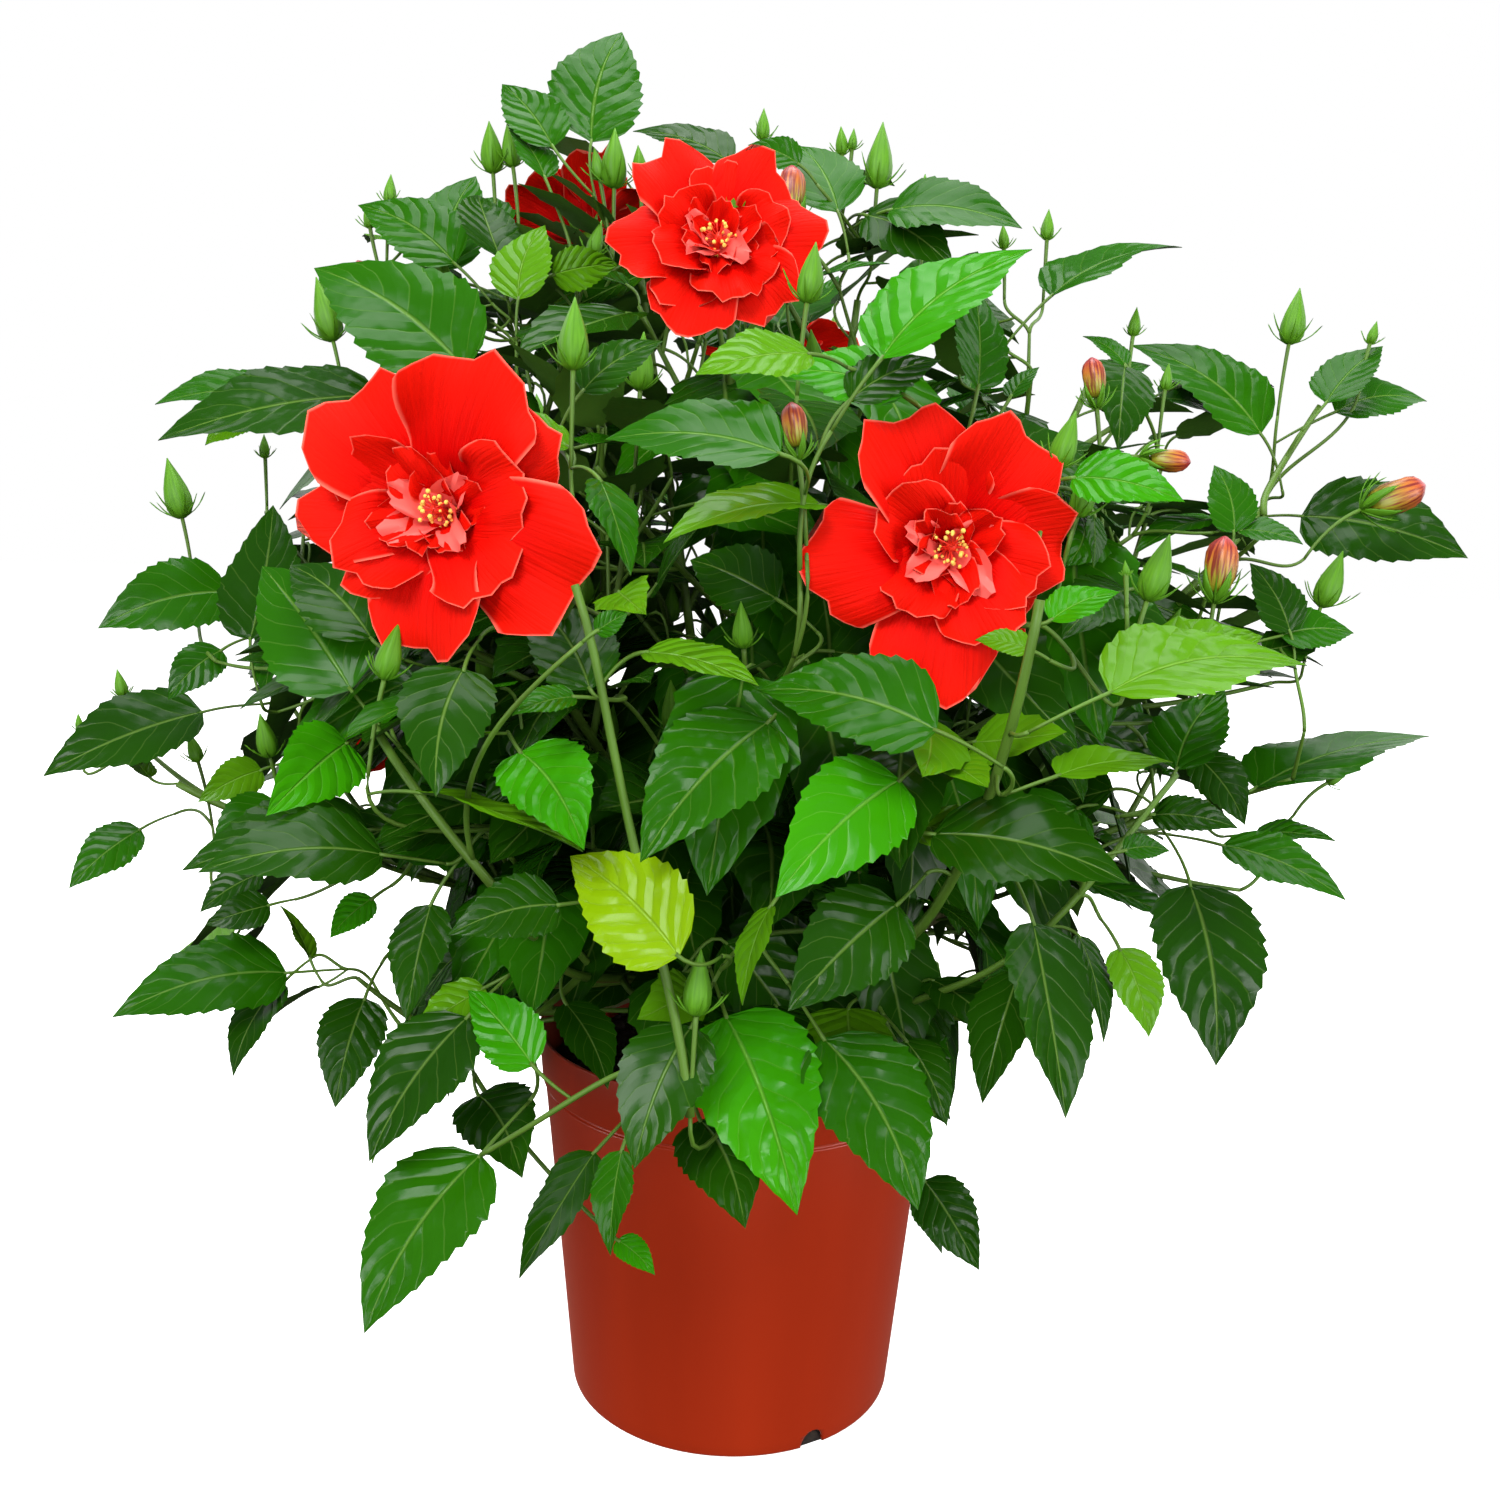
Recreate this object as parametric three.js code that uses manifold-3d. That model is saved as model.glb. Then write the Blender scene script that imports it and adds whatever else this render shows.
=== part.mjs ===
// A double-flowered red hibiscus shrub in its nursery pot. Millimetres, +Z up. The origin is at the
// centre of the pot's underside, +X is the plant's right and -Y its front.
import * as THREE from "three";
import { mergeVertices } from "three/addons/utils/BufferGeometryUtils.js";
import Module from "manifold-3d";

const wasm = await Module();
wasm.setup();

// Clearance between neighbouring pieces
const GAP = 0.3;

// Pot: a thin moulded wall with a rim band, and half-round drain notches round its foot
const POT_HEIGHT = 203;
const POT_FOOT_RADIUS = 88.5;
const POT_WALL = 2;
const POT_FLOOR = 3;
const BAND_Z = 175;
const WALL_TOP_RADIUS = 104.8;
const BAND_RADIUS = 106.3;
const RIM_RADIUS = 108.5;
const POT_SIDES = 32;
const DRAIN_RADIUS = 7;
const DRAIN_LENGTH = 26;
const DRAIN_ANGLES = [30, 150, 270];

// Potting mix, level with the flat cut under the trunk
const SOIL_Z = 178;

// Trunk: a short stem inside the crown, flared at the soil
const TRUNK_TOP = [-2, 3, 226];
const FLARE_RADIUS = 14.5;
const FLARE_SHARE = 0.3;
const TRUNK_TOP_SWELL = 1.25;
const TRUNK_SIDES = 10;
const TRUNK_STEPS = 7;

// Limbs: a limb's radius grows with the number of leafy masses that it carries
const SHOOT_RADIUS = 2.5;
const RADIUS_GROWTH = 0.42;
const BOUGH_SIDES = 5;
const BOUGH_STEP = 48;
const LEAVE_SPREAD = 0.7;
const BOUGH_RISE = 0.12;
const START_HANDLE = 0.35;
const END_HANDLE = 0.3;

// The crown spreads from the fork. Each mass keeps to the cone of directions nearest to its own.
const FORK = new THREE.Vector3(0, 0, 215);
const CROWN_CENTRE = new THREE.Vector3(0, 0, 400);
const MASS_ENTRY = 0.38;
const GROWTH_TIP = 0.82;
const SPACE_MARGIN = 0.4;
const REACH_SPARE = 8;
const LIMB_SPARE = 0.6;
const POT_SPARE = 1.5;

// Twigs: the lowest is the longest share of its stem, and one without room is made shorter
const TWIG_SIDES = 3;
const TWIG_STEP = 70;
const STEM_STEPS = 3;
const STEM_RISE = 0.4;
const TIP_RADIUS = 1.8;
const TWIG_PLACES = [0.06, 0.25, 0.43, 0.6, 0.77];
const TWIG_SPREAD = 42;
const TWIG_SPREAD_RANGE = 14;
const TWIG_TURN = 137.5;
const TWIG_SHARE = 0.72;
const TWIG_SHARE_LOSS = 0.4;
const TWIG_ARCH = 0.14;
const TWIG_SHORTEST = 30;
const TWIG_CUTS = [1, 0.74, 0.55, 0.41];
const TWIG_END = 0.985;

// Leaves: they stand in a spiral on long stalks, and the youngest are small and held up
const LEAF_TURN = 144;
const LEAF_PITCH = 24;
const LEAF_LENGTH = 98;
const LEAF_WIDTH = 0.66;
const LEAF_THICKNESS = 0.019;
const PETIOLE_SHARE = 0.36;
const PETIOLE_RADIUS = 0.9;
const PETIOLE_ANGLE = 52;
const LEAF_SIZE_RANGE = 0.16;
const ROLL_RANGE = 0.8;
const FOLD_LEAST = 0.16;
const FOLD_RANGE = 0.2;
const YOUNG_SHARE = 0.62;
const YOUNG_STRETCH = 45;
const YOUNG_LIFT = 55;
const DROOP_RANGE = 30;
const DROOP_LOW = 72;
const DROOP_LOW_Z = 225;
const DROOP_TOP = 24;
const DROOP_TOP_Z = 600;
// Stations along a blade past its base: share of its length, half width, and fall of the midrib
const BLADE = [
  [0.3, 0.5, 0.015],
  [0.68, 0.36, 0.09],
  [1, 0, 0.24],
];
const SMALL_BLADE = [
  [0.4, 0.52, 0.03],
  [1, 0, 0.22],
];
const SMALL_LENGTH = 80;

// Buds on long stalks at the tips of the upper shoots
const BUD_LENGTH = 24;
const BUD_RADIUS = 5.5;
const BUD_STALK = 42;
const BUD_STALK_RADIUS = 1;
const BUD_LOWEST = 330;
const BUD_SHARE = 0.62;

// Each mass of foliage: its name, the limb that carries its bough, how far along that limb the
// bough leaves it, and the furthest point that its leaves reach.
const CROWN = [
  ["top_left", "trunk", 1, [-80, 8, 736]],
  ["top_right", "top_left", 0.42, [62, 0, 668]],
  ["top_front", "top_left", 0.66, [-14, -124, 650]],
  ["back_top", "top_left", 0.3, [8, 170, 622]],
  ["upper_left", "trunk", 0.72, [-182, -40, 622]],
  ["left_shoulder", "upper_left", 0.5, [-272, -85, 520]],
  ["front_left", "upper_left", 0.3, [-118, -232, 505]],
  ["back_left_up", "upper_left", 0.66, [-195, 170, 520]],
  ["upper_right", "trunk", 0.82, [206, -12, 622]],
  ["right_shoulder", "upper_right", 0.52, [322, 0, 548]],
  ["front_right", "upper_right", 0.34, [84, -235, 500]],
  ["back_right_up", "upper_right", 0.68, [195, 180, 520]],
  ["left", "trunk", 0.46, [-368, -50, 374]],
  ["left_low", "left", 0.34, [-228, -165, 250]],
  ["back_left", "left", 0.55, [-255, 165, 315]],
  ["right", "trunk", 0.56, [350, -20, 402]],
  ["right_low", "right", 0.34, [218, -170, 262]],
  ["back_right", "right", 0.6, [255, 180, 330]],
  ["front_low_left", "trunk", 0.62, [-92, -246, 318]],
  ["front_low_right", "trunk", 0.4, [84, -248, 300]],
  ["back_low", "trunk", 0.66, [0, 270, 330]],
];

// Open flowers: the mass that bears each, its throat, the way it faces and its diameter
const FLOWERS = [
  ["front_left", [-113, -222, 478], [-0.2, -1, 0.12], 108],
  ["front_right", [73, -224, 470], [0.12, -1, 0.06], 104],
  ["top_front", [-18, -104, 594], [0.1, -1, 0.3], 92],
  ["top_left", [-92, 30, 622], [-0.35, 0.6, 0.7], 84],
  ["back_top", [14, 160, 566], [0.1, 1, 0.35], 96],
  ["back_right_up", [166, 172, 470], [0.5, 0.85, 0.25], 100],
  ["back_left", [-212, 158, 348], [-0.6, 0.8, 0.15], 100],
];
const FLOWER_STALK = 48;
const STALK_RADIUS = 1.6;
const STALK_PLACE = 0.8;
// The flower's outline from its calyx over the wide outer petals and the cup of inner ones: share of
// its radius, share of rise, and how deep the notches between neighbouring petals are there
const FLOWER_OUTLINE = [
  [0, -0.42, 0],
  [0.06, -0.42, 0],
  [0.15, -0.1, 0],
  [1, 0.2, 0.26],
  [0.2, 0.04, 0],
  [0.62, 0.42, 0.3],
  [0.12, 0.18, 0],
  [0, 0.14, 0],
];
const PETALS = 5;

// What is tried in turn when a leaf has no room where it first grows: smaller, turned round its
// twig, and following its mass's own heading
const CHANGES = [
  { size: 1, turn: 0, follow: 0 },
  { size: 1, turn: 0.6, follow: 0.35 },
  { size: 1, turn: -0.6, follow: 0.35 },
  { size: 0.94, turn: 0, follow: 0.9 },
  { size: 0.9, turn: 2.8, follow: 0.5 },
  { size: 0.82, turn: 1.5, follow: 1 },
  { size: 0.74, turn: -1.5, follow: 1.3 },
];

const SEED = 4171;
const UP = new THREE.Vector3(0, 0, 1);
const { degToRad, lerp, smoothstep, clamp } = THREE.MathUtils;

// A repeatable stream of numbers from 0 to 1
function randomStream(seed) {
  let state = seed >>> 0;
  return () => {
    state = (state + 0x6d2b79f5) >>> 0;
    let t = Math.imul(state ^ (state >>> 15), state | 1);
    t ^= t + Math.imul(t ^ (t >>> 7), t | 61);
    return ((t ^ (t >>> 14)) >>> 0) / 4294967296;
  };
}

function along(origin, direction, distance) {
  return origin.clone().addScaledVector(direction, distance);
}

function mixed(...pairs) {
  const sum = new THREE.Vector3();
  for (const [vector, weight] of pairs) sum.addScaledVector(vector, weight);
  return sum.normalize();
}

function sideways(axis) {
  const side = new THREE.Vector3().crossVectors(UP, axis);
  return side.lengthSq() > 1e-6 ? side.normalize() : new THREE.Vector3(1, 0, 0);
}

// A closed solid of a geometry, with faces that fold to nothing left out
function solidOf(geometry) {
  const bare = geometry.clone();
  bare.deleteAttribute("normal");
  bare.deleteAttribute("uv");
  const merged = mergeVertices(bare, 1e-3);
  const index = merged.index.array;
  const faces = [];
  for (let i = 0; i < index.length; i += 3) {
    const [a, b, c] = index.slice(i, i + 3);
    if (a !== b && b !== c && a !== c) faces.push(a, b, c);
  }
  const numbers = { numProp: 3, vertProperties: new Float32Array(merged.attributes.position.array) };
  const solid = new wasm.Manifold(new wasm.Mesh({ ...numbers, triVerts: new Uint32Array(faces) }));
  if (solid.volume() > 0) return solid;
  return new wasm.Manifold(new wasm.Mesh({ ...numbers, triVerts: new Uint32Array(faces.reverse()) }));
}

// Drops loose scraps and fills sealed hollows
function largestBody(solid) {
  return solid.decompose().reduce((a, b) => (b.volume() > a.volume() ? b : a));
}

function geometryOf(solid) {
  const mesh = solid.getMesh();
  const geometry = new THREE.BufferGeometry();
  geometry.setAttribute("position", new THREE.BufferAttribute(mesh.vertProperties, 3));
  geometry.setIndex(new THREE.BufferAttribute(mesh.triVerts, 1));
  geometry.computeVertexNormals();
  return geometry;
}

// Moves each vertex of a geometry to where place(x, y, z) puts it
function reshaped(geometry, place) {
  const position = geometry.attributes.position;
  for (let i = 0; i < position.count; i++) {
    const p = place(position.getX(i), position.getY(i), position.getZ(i));
    position.setXYZ(i, p.x, p.y, p.z);
  }
  return geometry;
}

// A closed tube that follows a curve, with its radius given at each share of its length
function tube(curve, radiusAt, sides, steps) {
  const frames = curve.computeFrenetFrames(steps, false);
  const points = curve.getSpacedPoints(steps);
  return solidOf(
    reshaped(new THREE.CylinderGeometry(1, 1, 1, sides, steps), (x, y, z) => {
      const i = Math.round((y + 0.5) * steps);
      const r = radiusAt(i / steps);
      return along(along(points[i], frames.normals[i], x * r), frames.binormals[i], z * r);
    }),
  );
}

// A surface turned round +Z from an outline of [radius, height] points
function turned(outline, sides) {
  const points = outline.map(([r, z]) => new THREE.Vector2(r, z));
  return solidOf(new THREE.LatheGeometry(points, sides).rotateX(Math.PI / 2));
}

function potSolid() {
  let pot = turned(
    [
      [0, 0],
      [POT_FOOT_RADIUS, 0],
      [WALL_TOP_RADIUS, BAND_Z],
      [BAND_RADIUS, BAND_Z + 0.8],
      [RIM_RADIUS, POT_HEIGHT],
      [RIM_RADIUS - POT_WALL, POT_HEIGHT],
      [BAND_RADIUS - POT_WALL, BAND_Z + 1.8],
      [WALL_TOP_RADIUS - POT_WALL, BAND_Z],
      [POT_FOOT_RADIUS - POT_WALL, POT_FLOOR],
      [0, POT_FLOOR],
    ],
    POT_SIDES,
  );
  for (const angle of DRAIN_ANGLES) {
    const drain = new THREE.CylinderGeometry(DRAIN_RADIUS, DRAIN_RADIUS, DRAIN_LENGTH, 16);
    drain.translate(0, -POT_FOOT_RADIUS, 0);
    drain.rotateZ(degToRad(angle));
    pot = pot.subtract(solidOf(drain));
  }
  return pot;
}

function soilSolid() {
  return turned(
    [
      [0, POT_FLOOR + GAP],
      [POT_FOOT_RADIUS - POT_WALL - GAP, POT_FLOOR + GAP],
      [WALL_TOP_RADIUS - POT_WALL - GAP, BAND_Z],
      [WALL_TOP_RADIUS - POT_WALL - GAP, SOIL_Z],
      [0, SOIL_Z],
    ],
    POT_SIDES,
  );
}

// The space that the pot fills, a little larger than it, which no leaf may enter
function potSpace() {
  const spare = POT_SPARE;
  return turned(
    [
      [0, -spare],
      [POT_FOOT_RADIUS + spare, -spare],
      [RIM_RADIUS + spare, BAND_Z],
      [RIM_RADIUS + spare, POT_HEIGHT + spare],
      [0, POT_HEIGHT + spare],
    ],
    16,
  );
}

// How many masses a limb carries, its own among them
function massesOn(name) {
  const borne = CROWN.filter(([, carrier]) => carrier === name);
  const own = name === "trunk" ? 0 : 1;
  return borne.reduce((sum, [child]) => sum + massesOn(child), own);
}

function limbRadius(name) {
  return SHOOT_RADIUS * massesOn(name) ** RADIUS_GROWTH;
}

function trunkLimb() {
  const foot = new THREE.Vector3(0, 0, SOIL_Z + GAP);
  const top = new THREE.Vector3(...TRUNK_TOP);
  const bend = new THREE.Vector3(0, 0, lerp(foot.z, top.z, 0.5));
  const curve = new THREE.QuadraticBezierCurve3(foot, bend, top);
  const topRadius = limbRadius("top_left") * TRUNK_TOP_SWELL;
  const radiusAt = (u) =>
    u < FLARE_SHARE
      ? lerp(FLARE_RADIUS, limbRadius("trunk"), Math.sqrt(u / FLARE_SHARE))
      : lerp(limbRadius("trunk"), topRadius, (u - FLARE_SHARE) / (1 - FLARE_SHARE));
  return { curve, radiusAt, sides: TRUNK_SIDES, steps: TRUNK_STEPS };
}

// A bough leaves its carrier upwards and ends, on the line from the fork to its mass's tip, where
// the mass's own stem takes over.
function boughLimb(name, carrier, place, tip) {
  const start = carrier.curve.getPointAt(place);
  const carried = carrier.curve.getTangentAt(place);
  if (place === 1) start.addScaledVector(carried, GAP);
  const end = new THREE.Vector3().lerpVectors(FORK, tip, MASS_ENTRY);
  const span = start.distanceTo(end);
  const towards = mixed([end, 1], [start, -1]);
  const level = mixed([towards, 1], [UP, -towards.z]);
  const leave = place === 1 ? carried : mixed([towards, 1], [level, LEAVE_SPREAD]);
  const arrive = mixed([tip.clone().sub(end).normalize(), 1], [UP, BOUGH_RISE]);
  const curve = new THREE.CubicBezierCurve3(
    start,
    along(start, leave, span * START_HANDLE),
    along(end, arrive, -span * END_HANDLE),
    end,
  );
  const radiusAt = (u) => lerp(limbRadius(name), SHOOT_RADIUS, u);
  return { curve, radiusAt, sides: BOUGH_SIDES, steps: Math.ceil(curve.getLength() / BOUGH_STEP) };
}

function limbSolid(limb, spare = 0) {
  return tube(limb.curve, (u) => limb.radiusAt(u) + spare, limb.sides, limb.steps);
}

// The blade of a leaf with its stalk, or the blade alone: a diamond section carried along it, with
// its edges raised above the midrib, and a three-sided one along the stalk
function leafSolid(leaf, withStalk) {
  const across = new THREE.Vector3().crossVectors(leaf.blade, leaf.face);
  const half = leaf.length * LEAF_WIDTH;
  const thick = leaf.length * LEAF_THICKNESS * 0.5;
  const stations = leaf.length < SMALL_LENGTH ? SMALL_BLADE : BLADE;
  const rows = stations.map(([share, width, fall]) => ({
    centre: along(along(leaf.base, leaf.blade, share * leaf.length), leaf.face, -fall * leaf.length),
    edge: [width * half, width * half * leaf.fold],
    top: [0, width ? thick : 0],
    keel: width ? -thick : 0,
  }));
  rows.unshift(stalkRow(leaf.base, PETIOLE_RADIUS));
  if (withStalk) rows.unshift(stalkRow(leaf.root, PETIOLE_RADIUS * 0.7));
  const box = new THREE.BoxGeometry(2, rows.length - 1, 2, 2, rows.length - 1, 1);
  return solidOf(
    reshaped(box, (x, y, z) => {
      const row = rows[Math.round(y + (rows.length - 1) / 2)];
      const middle = z > 0 ? row.top : [0, row.keel];
      const [aside, rise] = x ? [x * row.edge[0], row.edge[1]] : middle;
      return along(along(row.centre, across, aside), leaf.face, rise);
    }),
  );
}

function stalkRow(centre, radius) {
  const edge = [radius, radius * 0.6];
  return { centre, edge, top: edge, keel: -radius };
}

// Leaves at the top are held level and those low down hang, while young ones stand up more.
function leafAt(twig, place, turn, size, random, change, heading) {
  const point = twig.curve.getPointAt(place);
  const axis = twig.curve.getTangentAt(place);
  const length = size * change.size;
  const outward = new THREE.Vector3(point.x, point.y, 0.001).normalize();
  const side = sideways(axis).applyAxisAngle(axis, turn + change.turn);
  const lean = degToRad(PETIOLE_ANGLE);
  const stalk = mixed([axis, Math.cos(lean)], [side, Math.sin(lean)], [outward, 0.3], [UP, 0.15]);
  const base = along(point, stalk, length * PETIOLE_SHARE);
  const level = mixed([stalk, 1], [outward, 0.75], [UP, -stalk.z]);
  const young = 1 - clamp((size / LEAF_LENGTH - YOUNG_SHARE) / (1 - YOUNG_SHARE), 0, 1);
  const rest = lerp(DROOP_LOW, DROOP_TOP, smoothstep(base.z, DROOP_LOW_Z, DROOP_TOP_Z));
  const droop = degToRad(rest - YOUNG_LIFT * young + (random.droop - 0.5) * DROOP_RANGE);
  const free = mixed([level, Math.cos(droop)], [UP, -Math.sin(droop)]);
  const blade = mixed([free, 1], [heading, change.follow]);
  const light = mixed([UP, 0.8], [mixed([base, 1], [CROWN_CENTRE, -1]), 0.75]);
  const face = mixed([light, 1], [blade, -light.dot(blade)]);
  face.applyAxisAngle(blade, (random.roll - 0.5) * ROLL_RANGE);
  return { root: point, base, blade, face, length, fold: FOLD_LEAST + FOLD_RANGE * random.fold };
}

// An open double flower in one closed surface, its outline turned round its own axis
function flowerBody(radius) {
  const points = FLOWER_OUTLINE.map(([r, rise]) => new THREE.Vector2(r, rise));
  const rows = points.length;
  const body = new THREE.LatheGeometry(points, PETALS * 3);
  const position = body.attributes.position;
  for (let i = 0; i < position.count; i++) {
    const angle = (Math.floor(i / rows) * 2 * Math.PI) / (PETALS * 3);
    const notch = FLOWER_OUTLINE[i % rows][2] * (1 - Math.abs(Math.sin((PETALS * angle) / 2)));
    const r = radius * (1 - notch);
    position.setXYZ(i, position.getX(i) * r, position.getY(i) * radius, position.getZ(i) * r);
  }
  return body.rotateX(Math.PI / 2);
}

// Puts a geometry that stands on the origin along +Z at a place, facing a direction
function towardsPose(geometry, place, facing) {
  const turn = new THREE.Quaternion().setFromUnitVectors(UP, facing);
  return geometry.applyQuaternion(turn).translate(place.x, place.y, place.z);
}

// A flower and the stalk that curves up to it from its mass's stem
function flowerSolids(stem, throat, facing, diameter) {
  const calyxEnd = along(throat, facing, FLOWER_OUTLINE[0][1] * 0.5 * diameter);
  const bend = along(calyxEnd, facing, -0.4 * FLOWER_STALK);
  const foot = stem.curve.getPointAt(STALK_PLACE);
  const stalk = new THREE.QuadraticBezierCurve3(foot, bend, along(calyxEnd, facing, 2));
  return [
    solidOf(towardsPose(flowerBody(diameter / 2), throat, facing)),
    tube(stalk, () => STALK_RADIUS, TWIG_SIDES, 3),
  ];
}

// A bud on its stalk, turned in one closed surface with four sides
function budSolid(twig, direction, size) {
  const foot = twig.curve.getPointAt(TWIG_END);
  const stalk = BUD_STALK * size;
  const outline = [
    [0, 0],
    [BUD_STALK_RADIUS, 0],
    [BUD_STALK_RADIUS, stalk],
    [BUD_RADIUS * size, stalk + 0.36 * BUD_LENGTH * size],
    [0, stalk + BUD_LENGTH * size],
  ].map(([r, z]) => new THREE.Vector2(r, z));
  return solidOf(towardsPose(new THREE.LatheGeometry(outline, 4).rotateX(Math.PI / 2), foot, direction));
}

// Whether a solid stays within its mass's cone of directions and reach, clear of what stands there
function hasRoom(solid, space, obstacles) {
  const { vertProperties: v } = solid.getMesh();
  for (let i = 0; i < v.length; i += 3) {
    const p = new THREE.Vector3(v[i], v[i + 1], v[i + 2]).sub(FORK);
    if (p.length() > space.reach) return false;
    if (space.walls.some((wall) => wall.dot(p) < SPACE_MARGIN)) return false;
  }
  const box = solid.boundingBox();
  return !obstacles.some((other) => {
    const apart = box.min.some((low, k) => low > other.box.max[k] || box.max[k] < other.box.min[k]);
    return !apart && solid.intersect(other.solid).volume() > 1e-6;
  });
}

function obstacle(solid) {
  return { solid, box: solid.boundingBox() };
}

// A mass's space: the walls between its own direction and every other mass's, and its reach
function spaceOf(name, tip) {
  const own = mixed([tip, 1], [FORK, -1]);
  const walls = CROWN.filter(([other]) => other !== name).map(([, , , otherTip]) =>
    mixed([own, 1], [mixed([new THREE.Vector3(...otherTip), 1], [FORK, -1]), -1]),
  );
  return { walls, heading: own, reach: tip.distanceTo(FORK) + REACH_SPARE };
}

// The mass's stem goes on from its bough's tip, with side twigs in a spiral round it.
function twigsOf(bough, tip, space, limbs, random) {
  const arrive = bough.curve.getTangentAt(1);
  const start = along(bough.curve.getPointAt(1), arrive, GAP);
  const end = new THREE.Vector3().lerpVectors(FORK, tip, GROWTH_TIP);
  const span = start.distanceTo(end);
  const finish = mixed([space.heading, 1], [UP, STEM_RISE]);
  const stem = {
    curve: new THREE.CubicBezierCurve3(
      start,
      along(start, arrive, span * START_HANDLE),
      along(end, finish, -span * END_HANDLE),
      end,
    ),
    length: span,
  };
  stem.solid = tube(stem.curve, (u) => lerp(SHOOT_RADIUS, TIP_RADIUS, u), TWIG_SIDES, STEM_STEPS);
  const twigs = [stem];
  const phase = random() * Math.PI * 2;
  TWIG_PLACES.forEach((place, k) => {
    const axis = stem.curve.getTangentAt(place);
    const side = sideways(axis).applyAxisAngle(axis, phase + k * degToRad(TWIG_TURN));
    const spread = degToRad(TWIG_SPREAD + (random() - 0.5) * TWIG_SPREAD_RANGE);
    const heading = mixed([axis, Math.cos(spread)], [side, Math.sin(spread)]);
    const from = stem.curve.getPointAt(place);
    const whole = span * (TWIG_SHARE - TWIG_SHARE_LOSS * place) * (0.85 + 0.3 * random());
    for (const cut of TWIG_CUTS) {
      const length = whole * cut;
      const tipPoint = along(along(from, heading, length), UP, length * TWIG_ARCH);
      const bend = along(from, heading, length / 2);
      const curve = new THREE.QuadraticBezierCurve3(from, bend, tipPoint);
      const radiusAt = (u) => TIP_RADIUS * Math.min(1, 0.55 + u);
      const solid = tube(curve, radiusAt, TWIG_SIDES, Math.ceil(length / TWIG_STEP));
      if (length > TWIG_SHORTEST && hasRoom(solid, space, limbs)) {
        twigs.push({ curve, length, solid });
        break;
      }
    }
  });
  return twigs;
}

// One mass of foliage: stem, twigs, flowers, buds, and a leaf wherever one has room
function massSolid(name, bough, tip, limbs, seed) {
  const random = randomStream(seed);
  const space = spaceOf(name, tip);
  const twigs = twigsOf(bough, tip, space, limbs, random);
  const pieces = twigs.map((twig) => twig.solid);
  const standing = [];
  for (const [, throat, facing, diameter] of FLOWERS.filter(([bearer]) => bearer === name)) {
    const front = new THREE.Vector3(...facing).normalize();
    const flower = flowerSolids(twigs[0], new THREE.Vector3(...throat), front, diameter);
    pieces.push(...flower);
    standing.push(...flower.map(obstacle));
  }
  for (const twig of twigs) {
    const end = twig.curve.getPointAt(1);
    const outward = new THREE.Vector3(end.x, end.y, 0.001).normalize();
    const drawn = random();
    const aside = random() - 0.5;
    const size = 0.7 + 0.4 * random();
    const heading = mixed([UP, 1], [twig.curve.getTangentAt(1), 0.5], [outward, aside]);
    if (end.z < BUD_LOWEST || drawn > BUD_SHARE) continue;
    const bud = budSolid(twig, heading, size);
    if (!hasRoom(bud, space, [...limbs, ...standing])) continue;
    pieces.push(bud);
    standing.push(obstacle(bud));
  }
  const wood = twigs.map((twig) => obstacle(twig.solid));
  for (const twig of twigs) {
    const count = Math.max(2, Math.floor(twig.length / LEAF_PITCH));
    const phase = random() * Math.PI * 2;
    for (let k = 0; k < count; k++) {
      const place = (k + 1) / count;
      const left = (1 - place) * twig.length;
      const age = clamp(YOUNG_SHARE + ((1 - YOUNG_SHARE) * left) / YOUNG_STRETCH, 0, 1);
      const size = LEAF_LENGTH * age * (1 + (random() - 0.5) * LEAF_SIZE_RANGE);
      const draws = { droop: random(), roll: random(), fold: random() };
      for (const change of CHANGES) {
        const turn = phase + k * degToRad(LEAF_TURN);
        const leaf = leafAt(twig, Math.min(place, TWIG_END), turn, size, draws, change, space.heading);
        const whole = leafSolid(leaf, true);
        if (!hasRoom(whole, space, [...limbs, ...standing])) continue;
        if (!hasRoom(leafSolid(leaf, false), space, wood)) continue;
        standing.push(obstacle(whole));
        pieces.push(whole);
        break;
      }
    }
  }
  return largestBody(pieces.reduce((sum, piece) => sum.add(piece)));
}

const finishes = {
  pot: { color: 0x9c2a0c, roughness: 0.42, metalness: 0 },
  soil: { color: 0x1c1611, roughness: 0.95, metalness: 0 },
  bark: { color: 0x75804c, roughness: 0.7, metalness: 0 },
  leaf: { color: 0x2f8a1f, roughness: 0.42, metalness: 0 },
};

const hibiscus = new THREE.Group();

// Corners that a cut leaves closer than a micrometre are merged in the finished piece.
function addPiece(name, solid, finish) {
  const settled = largestBody(solidOf(geometryOf(solid)));
  const mesh = new THREE.Mesh(geometryOf(settled), new THREE.MeshStandardMaterial(finishes[finish]));
  mesh.name = name;
  hibiscus.add(mesh);
}

addPiece("pot", potSolid(), "pot");
addPiece("potting_mix", soilSolid(), "soil");

const limbs = new Map([["trunk", trunkLimb()]]);
addPiece("trunk", limbSolid(limbs.get("trunk")), "bark");
for (const [name, carrierName, place, tip] of CROWN) {
  const carrier = limbs.get(carrierName);
  const limb = boughLimb(name, carrier, place, new THREE.Vector3(...tip));
  limbs.set(name, limb);
  const whole = limbSolid(limb);
  const solid = place === 1 ? whole : largestBody(whole.subtract(limbSolid(carrier, GAP)));
  addPiece("bough_" + name, solid, "bark");
}

const keptClear = [...limbs.values()].map((limb) => obstacle(limbSolid(limb, LIMB_SPARE)));
keptClear.push(obstacle(potSpace()));
CROWN.forEach(([name, , , tip], index) => {
  const solid = massSolid(name, limbs.get(name), new THREE.Vector3(...tip), keptClear, SEED + index);
  addPiece("foliage_" + name, solid, "leaf");
});

export default hibiscus;
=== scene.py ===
import math

import bpy
import numpy as np
from mathutils import Matrix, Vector
from mathutils.bvhtree import BVHTree


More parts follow.
